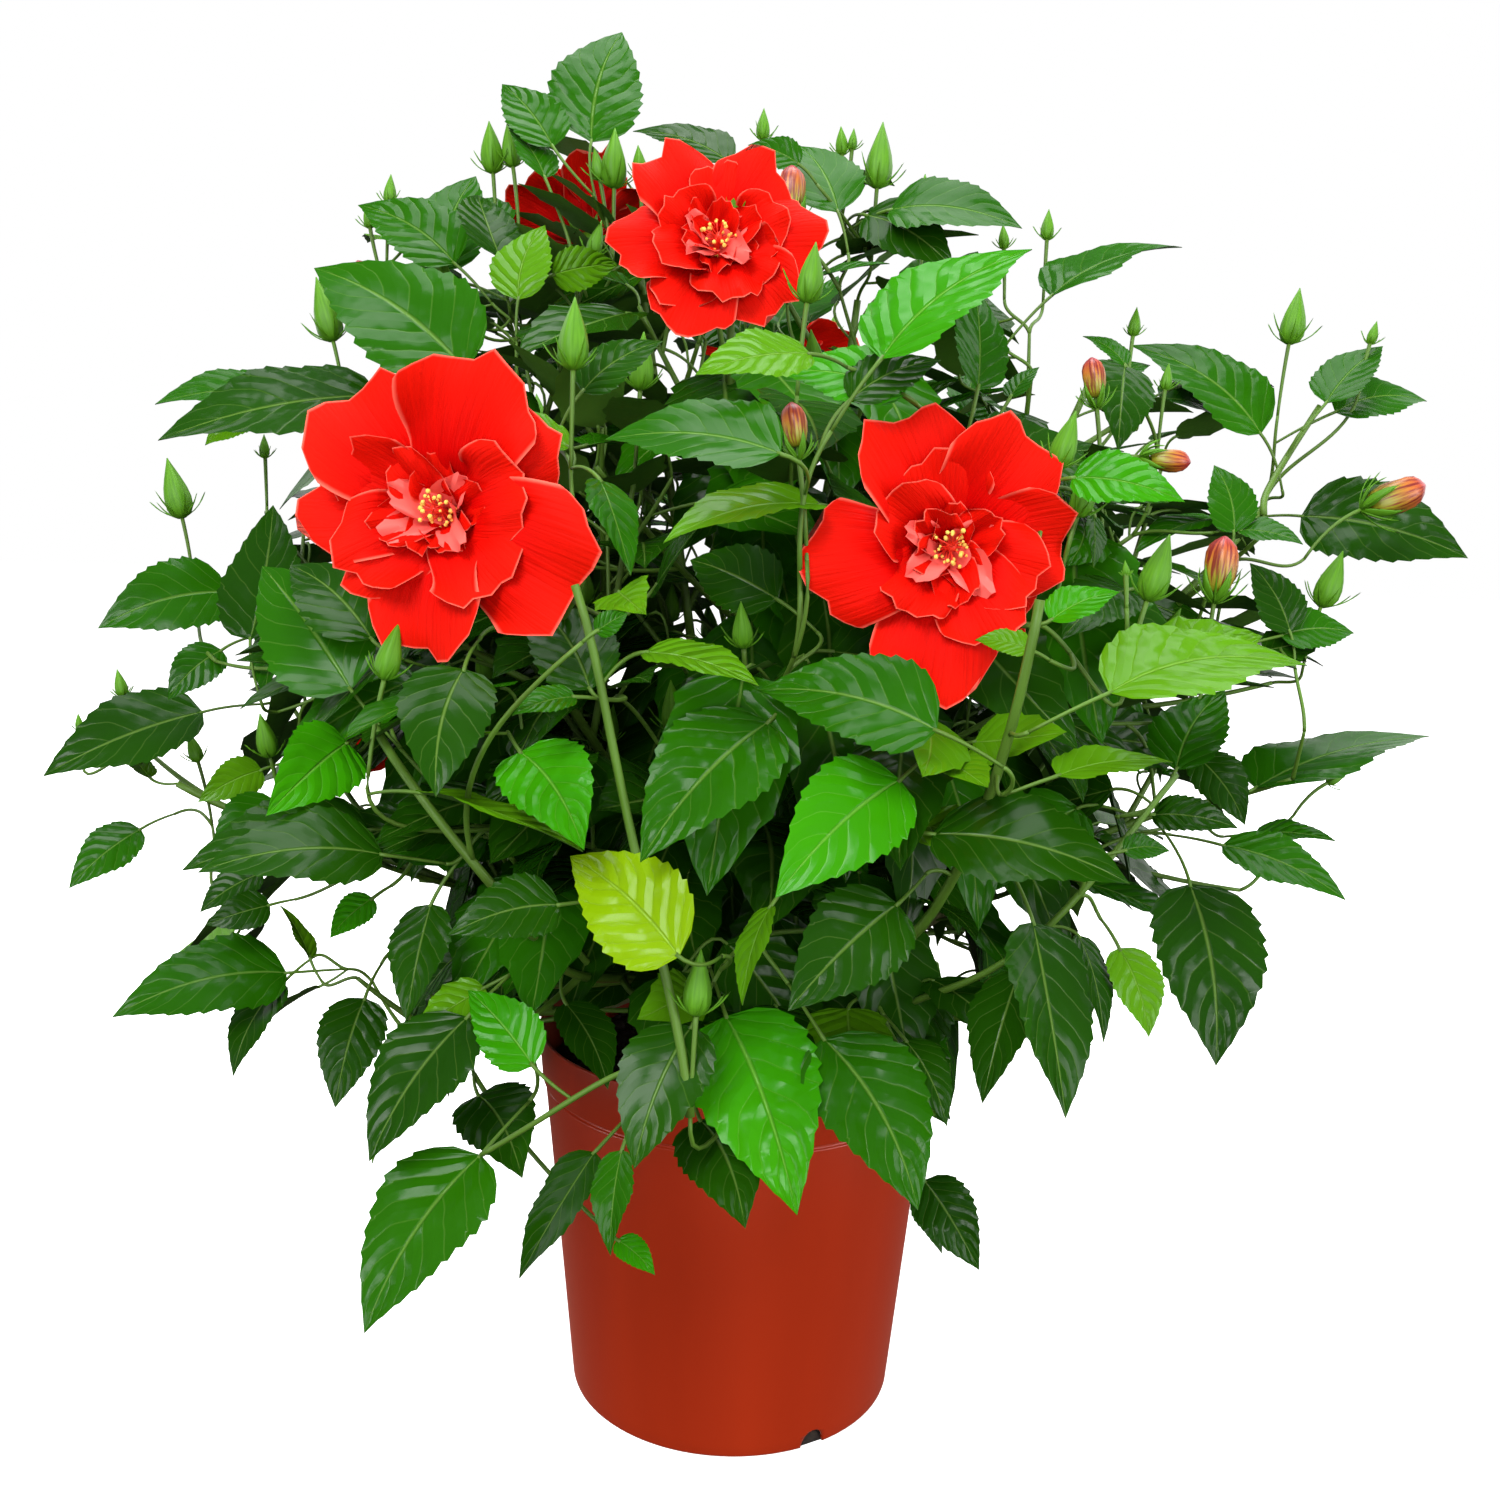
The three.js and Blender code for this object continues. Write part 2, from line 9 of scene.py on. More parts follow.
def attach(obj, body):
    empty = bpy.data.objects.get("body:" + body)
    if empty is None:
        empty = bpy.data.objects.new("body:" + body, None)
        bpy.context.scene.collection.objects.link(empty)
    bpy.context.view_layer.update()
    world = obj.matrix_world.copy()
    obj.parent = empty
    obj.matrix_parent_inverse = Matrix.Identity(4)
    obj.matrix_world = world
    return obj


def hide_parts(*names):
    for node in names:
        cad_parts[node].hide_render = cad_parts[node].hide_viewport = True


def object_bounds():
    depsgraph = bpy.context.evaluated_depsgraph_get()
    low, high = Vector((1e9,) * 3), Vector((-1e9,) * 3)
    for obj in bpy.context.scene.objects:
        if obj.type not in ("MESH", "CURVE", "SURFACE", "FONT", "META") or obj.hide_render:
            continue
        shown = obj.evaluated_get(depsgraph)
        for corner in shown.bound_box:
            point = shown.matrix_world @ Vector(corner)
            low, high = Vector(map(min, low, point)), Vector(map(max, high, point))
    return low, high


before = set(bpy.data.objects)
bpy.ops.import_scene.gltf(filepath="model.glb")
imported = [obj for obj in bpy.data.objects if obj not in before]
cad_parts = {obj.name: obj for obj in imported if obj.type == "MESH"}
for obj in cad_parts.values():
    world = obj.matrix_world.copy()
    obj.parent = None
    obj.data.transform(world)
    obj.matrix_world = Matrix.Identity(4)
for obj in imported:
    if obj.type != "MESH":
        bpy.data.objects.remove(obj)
cad_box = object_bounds()

# Camera, ground and light. The camera stands in front of the pot, a little above the middle of the
# crown, and looks slightly down. Its frame is the photograph's, 1500 pixels wide and high.
MM = 0.001
PHOTO_PIXELS = 1500
CAMERA_PLACE = np.array([2.4, -787.6, 487.0])
CAMERA_PITCH = math.radians(9.59)
CAMERA_ROLL = math.radians(1.516)
SENSOR_WIDTH = 36.0
LENS = SENSOR_WIDTH
CLIP_START = 0.01
AHEAD = np.array([0, math.cos(CAMERA_PITCH), -math.sin(CAMERA_PITCH)])
LEVEL_UP = np.array([0, math.sin(CAMERA_PITCH), math.cos(CAMERA_PITCH)])
VIEW_RIGHT = np.array([math.cos(CAMERA_ROLL), 0, 0]) + LEVEL_UP * math.sin(CAMERA_ROLL)
VIEW_UP = np.array([-math.sin(CAMERA_ROLL), 0, 0]) + LEVEL_UP * math.cos(CAMERA_ROLL)


def photo_ray(u, v):
    """The direction from the camera through pixel (u, v): ahead, plus the pixel's shares of the
    frame aside and upwards from its middle. The lens makes the frame as wide as it is far."""
    middle = PHOTO_PIXELS / 2
    return AHEAD + VIEW_RIGHT * (u - middle) / PHOTO_PIXELS + VIEW_UP * (middle - v) / PHOTO_PIXELS


def photo_pixel(points):
    """Where points (..., 3) in mm fall in the photograph, and how far ahead of the camera they lie:
    a pixel is the point's share aside and upwards of its distance ahead."""
    away = points - CAMERA_PLACE
    depth = away @ AHEAD
    across = PHOTO_PIXELS * (away @ VIEW_RIGHT) / depth
    upwards = PHOTO_PIXELS * (away @ VIEW_UP) / depth
    return PHOTO_PIXELS / 2 + across, PHOTO_PIXELS / 2 - upwards, depth


def placed(name, data):
    """A new object with its data, linked into the scene."""
    made = bpy.data.objects.new(name, data)
    bpy.context.collection.objects.link(made)
    return made


camera = placed("camera", bpy.data.cameras.new("camera"))
camera.data.sensor_width = SENSOR_WIDTH
camera.data.lens = LENS
camera.data.clip_start = CLIP_START
axes = np.stack([VIEW_RIGHT, VIEW_UP, -AHEAD], axis=1)
camera.matrix_world = Matrix.Translation(CAMERA_PLACE * MM) @ Matrix(axes.tolist()).to_4x4()
bpy.context.scene.camera = camera
bpy.context.scene.view_settings.view_transform = "Standard"


def linear(colour):
    """An sRGB hex colour as linear red, green, blue and alpha."""
    parts = np.array([int(colour[k : k + 2], 16) / 255 for k in (1, 3, 5)])
    return (*np.where(parts < 0.04045, parts / 12.92, ((parts + 0.055) / 1.055) ** 2.4), 1.0)


def give(node, **inputs):
    """Gives a node's inputs a value, or a link from a socket or from a node's first output in use.
    An input goes by its name, with _ for a space, or by its place, as in0, in1 and so on."""
    for key, value in inputs.items():
        place = int(key[2:]) if key[:2] == "in" and key[2:].isdigit() else key.replace("_", " ")
        if isinstance(value, bpy.types.Node):
            value = next(socket for socket in value.outputs if socket.enabled)
        if isinstance(value, bpy.types.NodeSocket):
            node.id_data.links.new(value, node.inputs[place])
        else:
            node.inputs[place].default_value = value


def add_node(tree, kind, **given):
    """Adds a shader node. What is given and is one of its settings is set, and the rest is given to
    its inputs."""
    node = tree.nodes.new("ShaderNode" + kind)
    for key in [key for key in given if hasattr(node, key)]:
        setattr(node, key, given.pop(key))
    give(node, **given)
    return node


def new_material(name, colour, roughness, **inputs):
    """A material of one Principled shader, with its tree and shader to build on."""
    made = bpy.data.materials.new(name)
    made.use_nodes = True
    shader = made.node_tree.nodes["Principled BSDF"]
    give(shader, Base_Color=linear(colour), Roughness=roughness, **inputs)
    return made, made.node_tree, shader


# The ground is a plain white sheet that glows a little, as on a light table, so that it stays pale
# to the horizon. It throws no light back up. Large soft lights stand above, in front and beside it.
GROUND_CORNERS = [(-8, -8), (8, -8), (8, 8), (-8, 8)]
GROUND_Z = -0.0005
ground_mesh = bpy.data.meshes.new("ground")
ground_mesh.from_pydata([(*corner, GROUND_Z) for corner in GROUND_CORNERS], [], [(0, 1, 2, 3)])
ground = placed("ground", ground_mesh)
paper, _, _ = new_material("matt_white_sheet", "#F4F4F2", 0.9, Emission_Color=linear("#FFFFFF"),
                           Emission_Strength=0.85, Specular_IOR_Level=0.0)
ground_mesh.materials.append(paper)
ground.visible_diffuse = False
ground.visible_glossy = False

# Each light: its place, what it is turned to, its size in metres and its power in watts
STUDIO_LIGHTS = [
    ("key", (-0.7, -1.9, 1.9), (0, 0, 0.38), 1.1, 60),
    ("side", (1.7, -1.3, 1.1), (0, 0, 0.35), 0.9, 22),
    ("front", (0.2, -2.4, 0.45), (0, 0, 0.2), 1.2, 30),
    ("left_fill", (-1.9, -0.7, 0.25), (0, 0, 0.12), 0.8, 13),
    ("right_fill", (1.9, -0.7, 0.25), (0, 0, 0.12), 0.8, 13),
    ("top", (0.1, 0.2, 2.3), (0, 0, 0.4), 1.4, 44),
    ("back_left", (-1.7, 1.6, 1.2), (0, 0, 0.35), 2.2, 30),
    ("back_right", (1.7, 1.6, 1.2), (0, 0, 0.35), 2.2, 30),
]
UP = np.array([0.0, 0.0, 1.0])
NEARLY_UP = UP + (0, 1e-3, 0)
for name, place, target, size, power in STUDIO_LIGHTS:
    light = placed(name, bpy.data.lights.new(name, "AREA"))
    light.data.size = size
    light.data.energy = power
    backwards = np.array(place) - np.array(target)
    backwards /= np.linalg.norm(backwards)
    aside = np.cross(NEARLY_UP, backwards)
    aside /= np.linalg.norm(aside)
    turned = Matrix(np.stack([aside, np.cross(backwards, aside), backwards], axis=1).tolist())
    light.matrix_world = Matrix.Translation(place) @ turned.to_4x4()

world = bpy.data.worlds.new("white_studio")
bpy.context.scene.world = world
world.use_nodes = True
studio = world.node_tree
rays = add_node(studio, "LightPath")
heading = add_node(studio, "TexCoord")
height = add_node(studio, "SeparateXYZ", Vector=heading.outputs["Generated"])
glow = add_node(studio, "MapRange", Value=height.outputs["Z"], From_Min=-0.4, From_Max=0.7,
                To_Min=0.04, To_Max=0.36)
soft_fill = add_node(studio, "Math", operation="MAXIMUM", in0=rays.outputs["Is Camera Ray"],
                     in1=glow)
give(studio.nodes["Background"], Color=(1, 1, 1, 1), Strength=soft_fill)


# The pot: a thin, round nursery pot, injection moulded in terracotta-coloured polypropylene. It has
# a stepped rim band over a groove that stiffens the wall, and three arched drain notches round its
# foot.
POT_HEIGHT = 203.0
POT_FOOT_RADIUS = 88.5
POT_WALL = 2.0
POT_FLOOR = 3.0
BAND_Z = 175.0
WALL_TOP_RADIUS = 104.8
BAND_RADIUS = 106.3
GROOVE_DEPTH = 1.1
GROOVE_HEIGHT = 2.6
RIM_RADIUS = 108.5
DRAIN_RADIUS = 7.0
DRAIN_HEIGHT = 9.5
DRAIN_LENGTH = 26.0
DRAIN_ANGLES = (30, 150, 270)
FLOOR_MIDDLE = 12
CORNER_RADIUS = 1.6
POT_SIDES = 144
POT_SHARP = 35


def closed_tubes(name, blocks, materials, sharp=None):
    """One mesh of closed tubes. A block has rings of the shape (tubes, rows, points, 3) in mm, and
    it may have uv of the shape (tubes, rows, points, 2) and the material of each point's faces.
    Quads join each row to the next and each point to its neighbour, a flat face closes both ends,
    and a tube whose volume comes out negative is turned inside out. Quads of a second material
    start at their next corner, so that the two sides of a thin blade split along like diagonals."""
    places, faces, uvs, finishes = [], [], [], []
    first = 0
    for rings, *more in blocks:
        uv, finish = (*more, None, None)[:2]
        tubes, rows, points = rings.shape[:3]
        index = first + np.arange(tubes * rows * points).reshape(tubes, rows, points)
        after = np.roll(index, -1, axis=2)
        quads = np.stack([index[:, :-1], after[:, :-1], after[:, 1:], index[:, 1:]], axis=-1)
        centred = (rings - rings.mean(axis=(1, 2), keepdims=True)).reshape(-1, 3)
        a, b, c, d = (centred[quads[..., k] - first] for k in range(4))
        volume = (np.cross(a, b) * c + np.cross(a, c) * d).sum(axis=(1, 2, 3))
        caps = np.stack([index[:, 0, ::-1], index[:, -1]], axis=1)
        inside_out = volume < 0
        quads[inside_out] = quads[inside_out][..., ::-1]
        if finish is not None:
            under = np.array(finish) > 0
            quads[:, :, under] = np.roll(quads[:, :, under], -1, axis=-1)
        caps[inside_out] = caps[inside_out][..., ::-1]
        faces += quads.reshape(-1, 4).tolist() + caps.reshape(-1, points).tolist()
        side = np.zeros(points, int) if finish is None else np.asarray(finish)
        finishes += [np.tile(side, tubes * (rows - 1)), np.zeros(2 * tubes, int)]
        places.append(rings.reshape(-1, 3))
        uvs.append(np.zeros((index.size, 2)) if uv is None else uv.reshape(-1, 2))
        first += index.size
    mesh = bpy.data.meshes.new(name)
    mesh.from_pydata(np.concatenate(places) * MM, [], faces)
    corner = np.empty(len(mesh.loops), np.int32)
    mesh.loops.foreach_get("vertex_index", corner)
    layer = mesh.uv_layers.new(name="surface")
    layer.uv.foreach_set("vector", np.concatenate(uvs)[corner].astype(np.float32).ravel())
    mesh.polygons.foreach_set("material_index", np.concatenate(finishes).astype(np.int32))
    mesh.polygons.foreach_set("use_smooth", np.ones(len(mesh.polygons), bool))
    if sharp is not None:
        mesh.set_sharp_from_angle(angle=math.radians(sharp))
    for material in materials:
        mesh.materials.append(material)
    return placed(name, mesh)


def round_way(sides):
    """The angles of a circle's points, at equal steps from 0."""
    return np.linspace(0, 2 * np.pi, sides, endpoint=False)


def turned_rings(outline, sides):
    """An outline of (radius, height) points carried round +Z, as one tube of circles."""
    outline = np.array(outline, float)
    angle = round_way(sides)
    radius, height = outline[:, :1], outline[:, 1:]
    circles = [radius * np.cos(angle), radius * np.sin(angle), height + 0 * angle]
    return np.stack(circles, axis=-1)[None]


def rounded(outline, radius, steps=4):
    """An outline with each inner corner replaced by a quadratic curve. It starts and ends a radius
    from the corner, or 0.45 of a shorter side."""
    points = [np.array(p, float) for p in outline]
    made = [points[0]]
    for before, corner, after in zip(points, points[1:], points[2:]):
        back, ahead = before - corner, after - corner
        reach = min(radius, 0.45 * np.linalg.norm(back), 0.45 * np.linalg.norm(ahead))
        start = corner + back / np.linalg.norm(back) * reach
        end = corner + ahead / np.linalg.norm(ahead) * reach
        for t in np.linspace(0, 1, steps):
            made.append(start * (1 - t) ** 2 + corner * 2 * t * (1 - t) + end * t**2)
    return made + [points[-1]]


def round_pot(degrees):
    """The level directions out of the pot's wall and along it, at an angle counted from -Y."""
    turn = math.radians(degrees)
    out = np.array([math.sin(turn), -math.cos(turn), 0])
    return out, np.array([math.cos(turn), math.sin(turn), 0])


wall_slope = (WALL_TOP_RADIUS - POT_FOOT_RADIUS) / BAND_Z
pot_outline = rounded([
    (FLOOR_MIDDLE, 0),
    (POT_FOOT_RADIUS, 0),
    *[(POT_FOOT_RADIUS + wall_slope * height, height) for height in (9, 20, 60, 120)],
    (WALL_TOP_RADIUS, BAND_Z - GROOVE_HEIGHT),
    (WALL_TOP_RADIUS - GROOVE_DEPTH, BAND_Z - GROOVE_HEIGHT + 0.6),
    (WALL_TOP_RADIUS - GROOVE_DEPTH, BAND_Z),
    (BAND_RADIUS, BAND_Z),
    (RIM_RADIUS, POT_HEIGHT),
    (RIM_RADIUS - POT_WALL, POT_HEIGHT),
    (BAND_RADIUS - POT_WALL, BAND_Z + 1.8),
    (WALL_TOP_RADIUS - POT_WALL, BAND_Z),
    (POT_FOOT_RADIUS - POT_WALL, POT_FLOOR),
    (FLOOR_MIDDLE, POT_FLOOR),
], CORNER_RADIUS)

# Polypropylene keeps a soft satin from the mould, with faint upright flow marks about 45 mm apart
# in its colour, and a fine grain of about a millimetre.
plastic, tree, shader = new_material("moulded_polypropylene", "#9C2603", 0.36, IOR=1.49,
                                     Sheen_Weight=0.3, Sheen_Roughness=0.4,
                                     Sheen_Tint=linear("#E08A78"))
place = add_node(tree, "TexCoord")
upright = add_node(tree, "Mapping", Vector=place.outputs["Object"], Scale=(22, 22, 1.2))
flow = add_node(tree, "TexNoise", Vector=upright, Scale=1.0, Detail=3.0)
shades = add_node(tree, "Mix", data_type="RGBA", Factor=flow, A=linear("#8E2002"),
                  B=linear("#A82C07"))
skin = add_node(tree, "TexNoise", Vector=place.outputs["Object"], Scale=900.0, Detail=2.0)
grain = add_node(tree, "Bump", Strength=0.06, Distance=0.0004, Height=skin)
give(shader, Base_Color=shades, Normal=grain)

pot_rings = turned_rings(pot_outline, POT_SIDES)
pot_shell = closed_tubes("pot_shell", [(pot_rings,)], [plastic], sharp=POT_SHARP)
drains = []
cut_way = round_way(24)[:, None]
for angle in DRAIN_ANGLES:
    out, along = round_pot(angle)
    circle = DRAIN_RADIUS * along * np.cos(cut_way) + DRAIN_HEIGHT * UP * np.sin(cut_way)
    ends = [circle + out * (POT_FOOT_RADIUS + side * DRAIN_LENGTH / 2) for side in (-1, 1)]
    drains.append(np.stack(ends))
cutter = closed_tubes("drain_notches", [(np.stack(drains),)], [plastic])
cut = pot_shell.modifiers.new("drain_notches", "BOOLEAN")
cut.object = cutter
cut.operation = "DIFFERENCE"
cut.solver = "EXACT"
seen = pot_shell.evaluated_get(bpy.context.evaluated_depsgraph_get())
notched = bpy.data.meshes.new_from_object(seen)
pot_shell.modifiers.clear()
pot_shell.data = notched
bpy.data.objects.remove(cutter)
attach(pot_shell, "root")
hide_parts("pot")

# The potting mix: damp dark peat with bark crumbs, filled to 25 mm below the rim. It is one body
# inside the pot, with its top uneven, and loose crumbs lie on it.
SOIL_Z = 178.0
SOIL_CLEAR = 0.4
SOIL_SIDES = 110
SOIL_WAVES = ((60, 1.6), (38, 1.2), (24, 0.9), (17, 0.6), (12, 0.5))
CRUMBS = 420
CRUMB_SIZES = (1.4, 4.2)
CRUMB_LIFT = 2.2
PLUG_DEPTHS = (12, 4, POT_WALL)
chance = np.random.default_rng(7)


def uneven(x, y):
    """A soft uneven height: sine waves of each length and rise, of seeded direction and phase."""
    height = np.zeros_like(x)
    for length, rise in SOIL_WAVES:
        heading, phase = chance.uniform(0, 2 * np.pi, 2)
        along = x * np.cos(heading) + y * np.sin(heading)
        height += rise * np.sin(2 * np.pi * along / length + phase)
    return height


soil_edge = WALL_TOP_RADIUS - POT_WALL - SOIL_CLEAR
soil_floor = POT_FLOOR + SOIL_CLEAR
soil_outline = [(10, soil_floor), (POT_FOOT_RADIUS - POT_WALL - SOIL_CLEAR, soil_floor)]
soil_outline += [(soil_edge, BAND_Z), (soil_edge, SOIL_Z)]
soil_outline += [(radius, SOIL_Z) for radius in np.linspace(soil_edge - 3, 2, 34)]
soil_rings = turned_rings(soil_outline, SOIL_SIDES)
lifted = np.clip((soil_edge - np.hypot(soil_rings[..., 0], soil_rings[..., 1])) / 12, 0, 1)
on_top = soil_rings[..., 2] >= SOIL_Z
top_rise = (uneven(soil_rings[..., 0], soil_rings[..., 1]) + 1.5) * lifted
soil_rings[..., 2] += np.where(on_top, top_rise, 0)

# Damp peat is nearly black and matt, with paler fibres and bark, a few millimetres apart, that
# catch the light.
peat, tree, shader = new_material("damp_peat", "#17100B", 0.92)
place = add_node(tree, "TexCoord")
fibres = add_node(tree, "TexNoise", Vector=place.outputs["Object"], Scale=260.0, Detail=6.0)
mottle = add_node(tree, "Mix", data_type="RGBA", Factor=fibres, A=linear("#0B0806"),
                  B=linear("#33251A"))
rough = add_node(tree, "Bump", Strength=0.9, Distance=0.003, Height=fibres)
give(shader, Base_Color=mottle, Normal=rough)

crumb_radius = soil_edge * np.sqrt(chance.uniform(0.02, 0.94, CRUMBS))
crumb_angle = chance.uniform(0, 2 * np.pi, CRUMBS)
crumb_size = chance.uniform(*CRUMB_SIZES, CRUMBS)
lump_rows = np.array([-0.8, -0.2, 0.45, 0.9])
lump_round = round_way(5)
lump = np.sqrt(1 - lump_rows**2)[None, :, None] * chance.uniform(0.7, 1.2, (CRUMBS, 4, 5))
crumbs = [lump * np.cos(lump_round), lump * np.sin(lump_round), lump_rows[:, None] + 0 * lump]
crumbs = np.stack(crumbs, axis=-1)
crumbs *= crumb_size[:, None, None, None] * chance.uniform(0.5, 1.2, (CRUMBS, 1, 1, 3)) * 0.8
crumbs[..., 0] += (crumb_radius * np.cos(crumb_angle))[:, None, None]
crumbs[..., 1] += (crumb_radius * np.sin(crumb_angle))[:, None, None]
crumbs[..., 2] += SOIL_Z + CRUMB_LIFT

# Peat has settled into the drain notches, a little behind the wall's face
plug_way = np.linspace(0, np.pi, 13)[:, None]
plugs = []
for angle in DRAIN_ANGLES:
    out, along = round_pot(angle)
    arch_line = (DRAIN_RADIUS - SOIL_CLEAR) * along * np.cos(plug_way)
    arch_line = arch_line + (DRAIN_HEIGHT - 2 * SOIL_CLEAR) * UP * np.sin(plug_way)
    arch_line = arch_line + UP * SOIL_CLEAR
    plugs.append(np.stack([arch_line + out * (POT_FOOT_RADIUS - depth) for depth in PLUG_DEPTHS]))
soil_blocks = [(soil_rings,), (crumbs,), (np.stack(plugs),)]
potting_mix = closed_tubes("potting_mix_surface", soil_blocks, [peat])
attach(potting_mix, "root")
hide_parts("potting_mix")

# The trunk and boughs: a short woody stem, flared at the soil, whose limbs arch up and out. They
# are young wood in green-brown bark, with pores and raised rings where leaves have dropped.
TRUNK_TOP = np.array([-2.0, 3.0, 226.0])
FLARE_RADIUS = 14.5
FLARE_SHARE = 0.3
TRUNK_TOP_SWELL = 1.25
SHOOT_RADIUS = 2.5
RADIUS_GROWTH = 0.42
LEAVE_SPREAD = 0.7
BOUGH_RISE = 0.12
START_HANDLE = 0.35
END_HANDLE = 0.3
FORK = np.array([0.0, 0.0, 215.0])
MASS_ENTRY = 0.38
GAP = 0.3
STEEP = 0.92
LIMB_SIDES = 14
# Each mass of foliage: its name, the limb that carries its bough, how far along that limb the bough
# leaves it, and the furthest point that its leaves reach
CROWN = [
    ("top_left", "trunk", 1, (-80, 8, 736)),
    ("top_right", "top_left", 0.42, (62, 0, 668)),
    ("top_front", "top_left", 0.66, (-14, -124, 650)),
    ("back_top", "top_left", 0.3, (8, 170, 622)),
    ("upper_left", "trunk", 0.72, (-182, -40, 622)),
    ("left_shoulder", "upper_left", 0.5, (-272, -85, 520)),
    ("front_left", "upper_left", 0.3, (-118, -232, 505)),
    ("back_left_up", "upper_left", 0.66, (-195, 170, 520)),
    ("upper_right", "trunk", 0.82, (206, -12, 622)),
    ("right_shoulder", "upper_right", 0.52, (322, 0, 548)),
    ("front_right", "upper_right", 0.34, (84, -235, 500)),
    ("back_right_up", "upper_right", 0.68, (195, 180, 520)),
    ("left", "trunk", 0.46, (-368, -50, 374)),
    ("left_low", "left", 0.34, (-228, -165, 250)),
    ("back_left", "left", 0.55, (-255, 165, 315)),
    ("right", "trunk", 0.56, (350, -20, 402)),
    ("right_low", "right", 0.34, (218, -170, 262)),
    ("back_right", "right", 0.6, (255, 180, 330)),
    ("front_low_left", "trunk", 0.62, (-92, -246, 318)),
    ("front_low_right", "trunk", 0.4, (84, -248, 300)),
    ("back_low", "trunk", 0.66, (0, 270, 330)),
]
TIPS = {name: np.array(tip, float) for name, _, _, tip in CROWN}


def mixed(*pairs):
    """The unit direction of a weighted sum of vectors."""
    total = sum(np.asarray(vector, float) * weight for vector, weight in pairs)
    return total / np.linalg.norm(total)


def towards(start, end):
    """The unit direction from a point to another."""
    return mixed((end, 1), (start, -1))


def bezier_line(*handles, steps=32):
    """A smooth curve from its first handle to its last, pulled towards those between: the sum of
    the handles, each times its binomial share of t, as points at equal distances along it."""
    t = np.linspace(0, 1, 201)[:, None]
    order = len(handles) - 1
    weights = [math.comb(order, k) * t**k * (1 - t) ** (order - k) for k in range(order + 1)]
    fine = sum(weight * np.asarray(handle, float) for weight, handle in zip(weights, handles))
    travelled = np.concatenate([[0], np.cumsum(np.linalg.norm(np.diff(fine, axis=0), axis=1))])
    even = np.linspace(0, travelled[-1], steps + 1)
    return np.stack([np.interp(even, travelled, fine[:, k]) for k in range(3)], axis=1)


def line_length(line):
    """The length of a line of points."""
    return float(np.linalg.norm(np.diff(line, axis=0), axis=1).sum())


def point_at(line, share):
    """The point at a share of a line's length."""
    step = np.clip(share, 0, 1) * (len(line) - 1)
    low = min(int(step), len(line) - 2)
    return line[low] + (line[low + 1] - line[low]) * (step - low)


def heading_at(line, share):
    """The unit direction of a line at a share of its length."""
    step = 1 / (len(line) - 1)
    return towards(point_at(line, share - step), point_at(line, share + step))


def masses_on(name):
    """How many masses a limb carries, its own among them."""
    carried = sum(masses_on(child) for child, carrier, _, _ in CROWN if carrier == name)
    return carried + (name != "trunk")


def limb_radius(name):
    """A limb's radius: a shoot's, times a power of the number of masses that it carries."""
    return SHOOT_RADIUS * masses_on(name) ** RADIUS_GROWTH


def bough_line(carrier, place, tip):
    """A bough leaves its carrier upwards, on a cubic curve, and ends on the line from the fork to
    its mass's tip, where the mass's own stem takes over."""
    start = point_at(carrier, place)
    carried = heading_at(carrier, place)
    if place == 1:
        start = start + carried * GAP
    end = FORK + (tip - FORK) * MASS_ENTRY
    span = np.linalg.norm(end - start)
    straight = towards(start, end)
    level = mixed((straight, 1), (UP, -straight[2]))
    leave = carried if place == 1 else mixed((straight, 1), (level, LEAVE_SPREAD))
    arrive = mixed((towards(end, tip), 1), (UP, BOUGH_RISE))
    return bezier_line(start, start + leave * span * START_HANDLE,
                       end - arrive * span * END_HANDLE, end)


def rings_along(lines, radii, sides):
    """Round tubes along lines (tubes, rows, 3): circles square to each line, their start turned to
    the side that lies level, or square to +X along a steep line."""
    headings = np.gradient(lines, axis=1)
    headings /= np.linalg.norm(headings, axis=-1, keepdims=True)
    steep = np.abs(headings[..., 2]).mean(axis=1)[:, None, None] > STEEP
    aside = np.cross(headings, np.where(steep, [1.0, 0, 0], UP))
    aside /= np.linalg.norm(aside, axis=-1, keepdims=True)
    over = np.cross(aside, headings)
    angle = round_way(sides)[:, None]
    circle = np.cos(angle) * aside[:, :, None] + np.sin(angle) * over[:, :, None]
    radii = radii[:, :, None, None] if radii.ndim == 2 else radii[..., None]
    return lines[:, :, None] + circle * radii


foot = np.array([0, 0, SOIL_Z + GAP])
trunk_line = bezier_line(foot, (0, 0, (foot[2] + TRUNK_TOP[2]) / 2), TRUNK_TOP)
limb_lines = {"trunk": trunk_line}
for name, carrier, place, tip in CROWN:
    limb_lines[name] = bough_line(limb_lines[carrier], place, TIPS[name])

share = np.linspace(0, 1, len(trunk_line))
narrowed = np.sqrt(np.clip(share / FLARE_SHARE, 0, 1))
flare = FLARE_RADIUS + (limb_radius("trunk") - FLARE_RADIUS) * narrowed
top_radius = limb_radius("top_left") * TRUNK_TOP_SWELL
upper = np.clip((share - FLARE_SHARE) / (1 - FLARE_SHARE), 0, 1)
limb_radii = [flare + (top_radius - limb_radius("trunk")) * upper]
for name, _, _, _ in CROWN:
    limb_radii.append(limb_radius(name) + (SHOOT_RADIUS - limb_radius(name)) * share)
limb_rows = np.stack(list(limb_lines.values()))
# The limbs' skin: ridges that wind along them and rings round them where leaves have dropped
angle = round_way(LIMB_SIDES)
ridges = 0.05 * np.sin(3 * angle + 9 * share[:, None])
ridges = ridges + 0.035 * np.sin(5 * angle - 17 * share[:, None])
scars = 0.09 * np.cos(np.pi * share[:, None] * 7) ** 24 + 0 * angle
limb_reach = np.stack(limb_radii)[:, :, None] * (1 + ridges + scars)

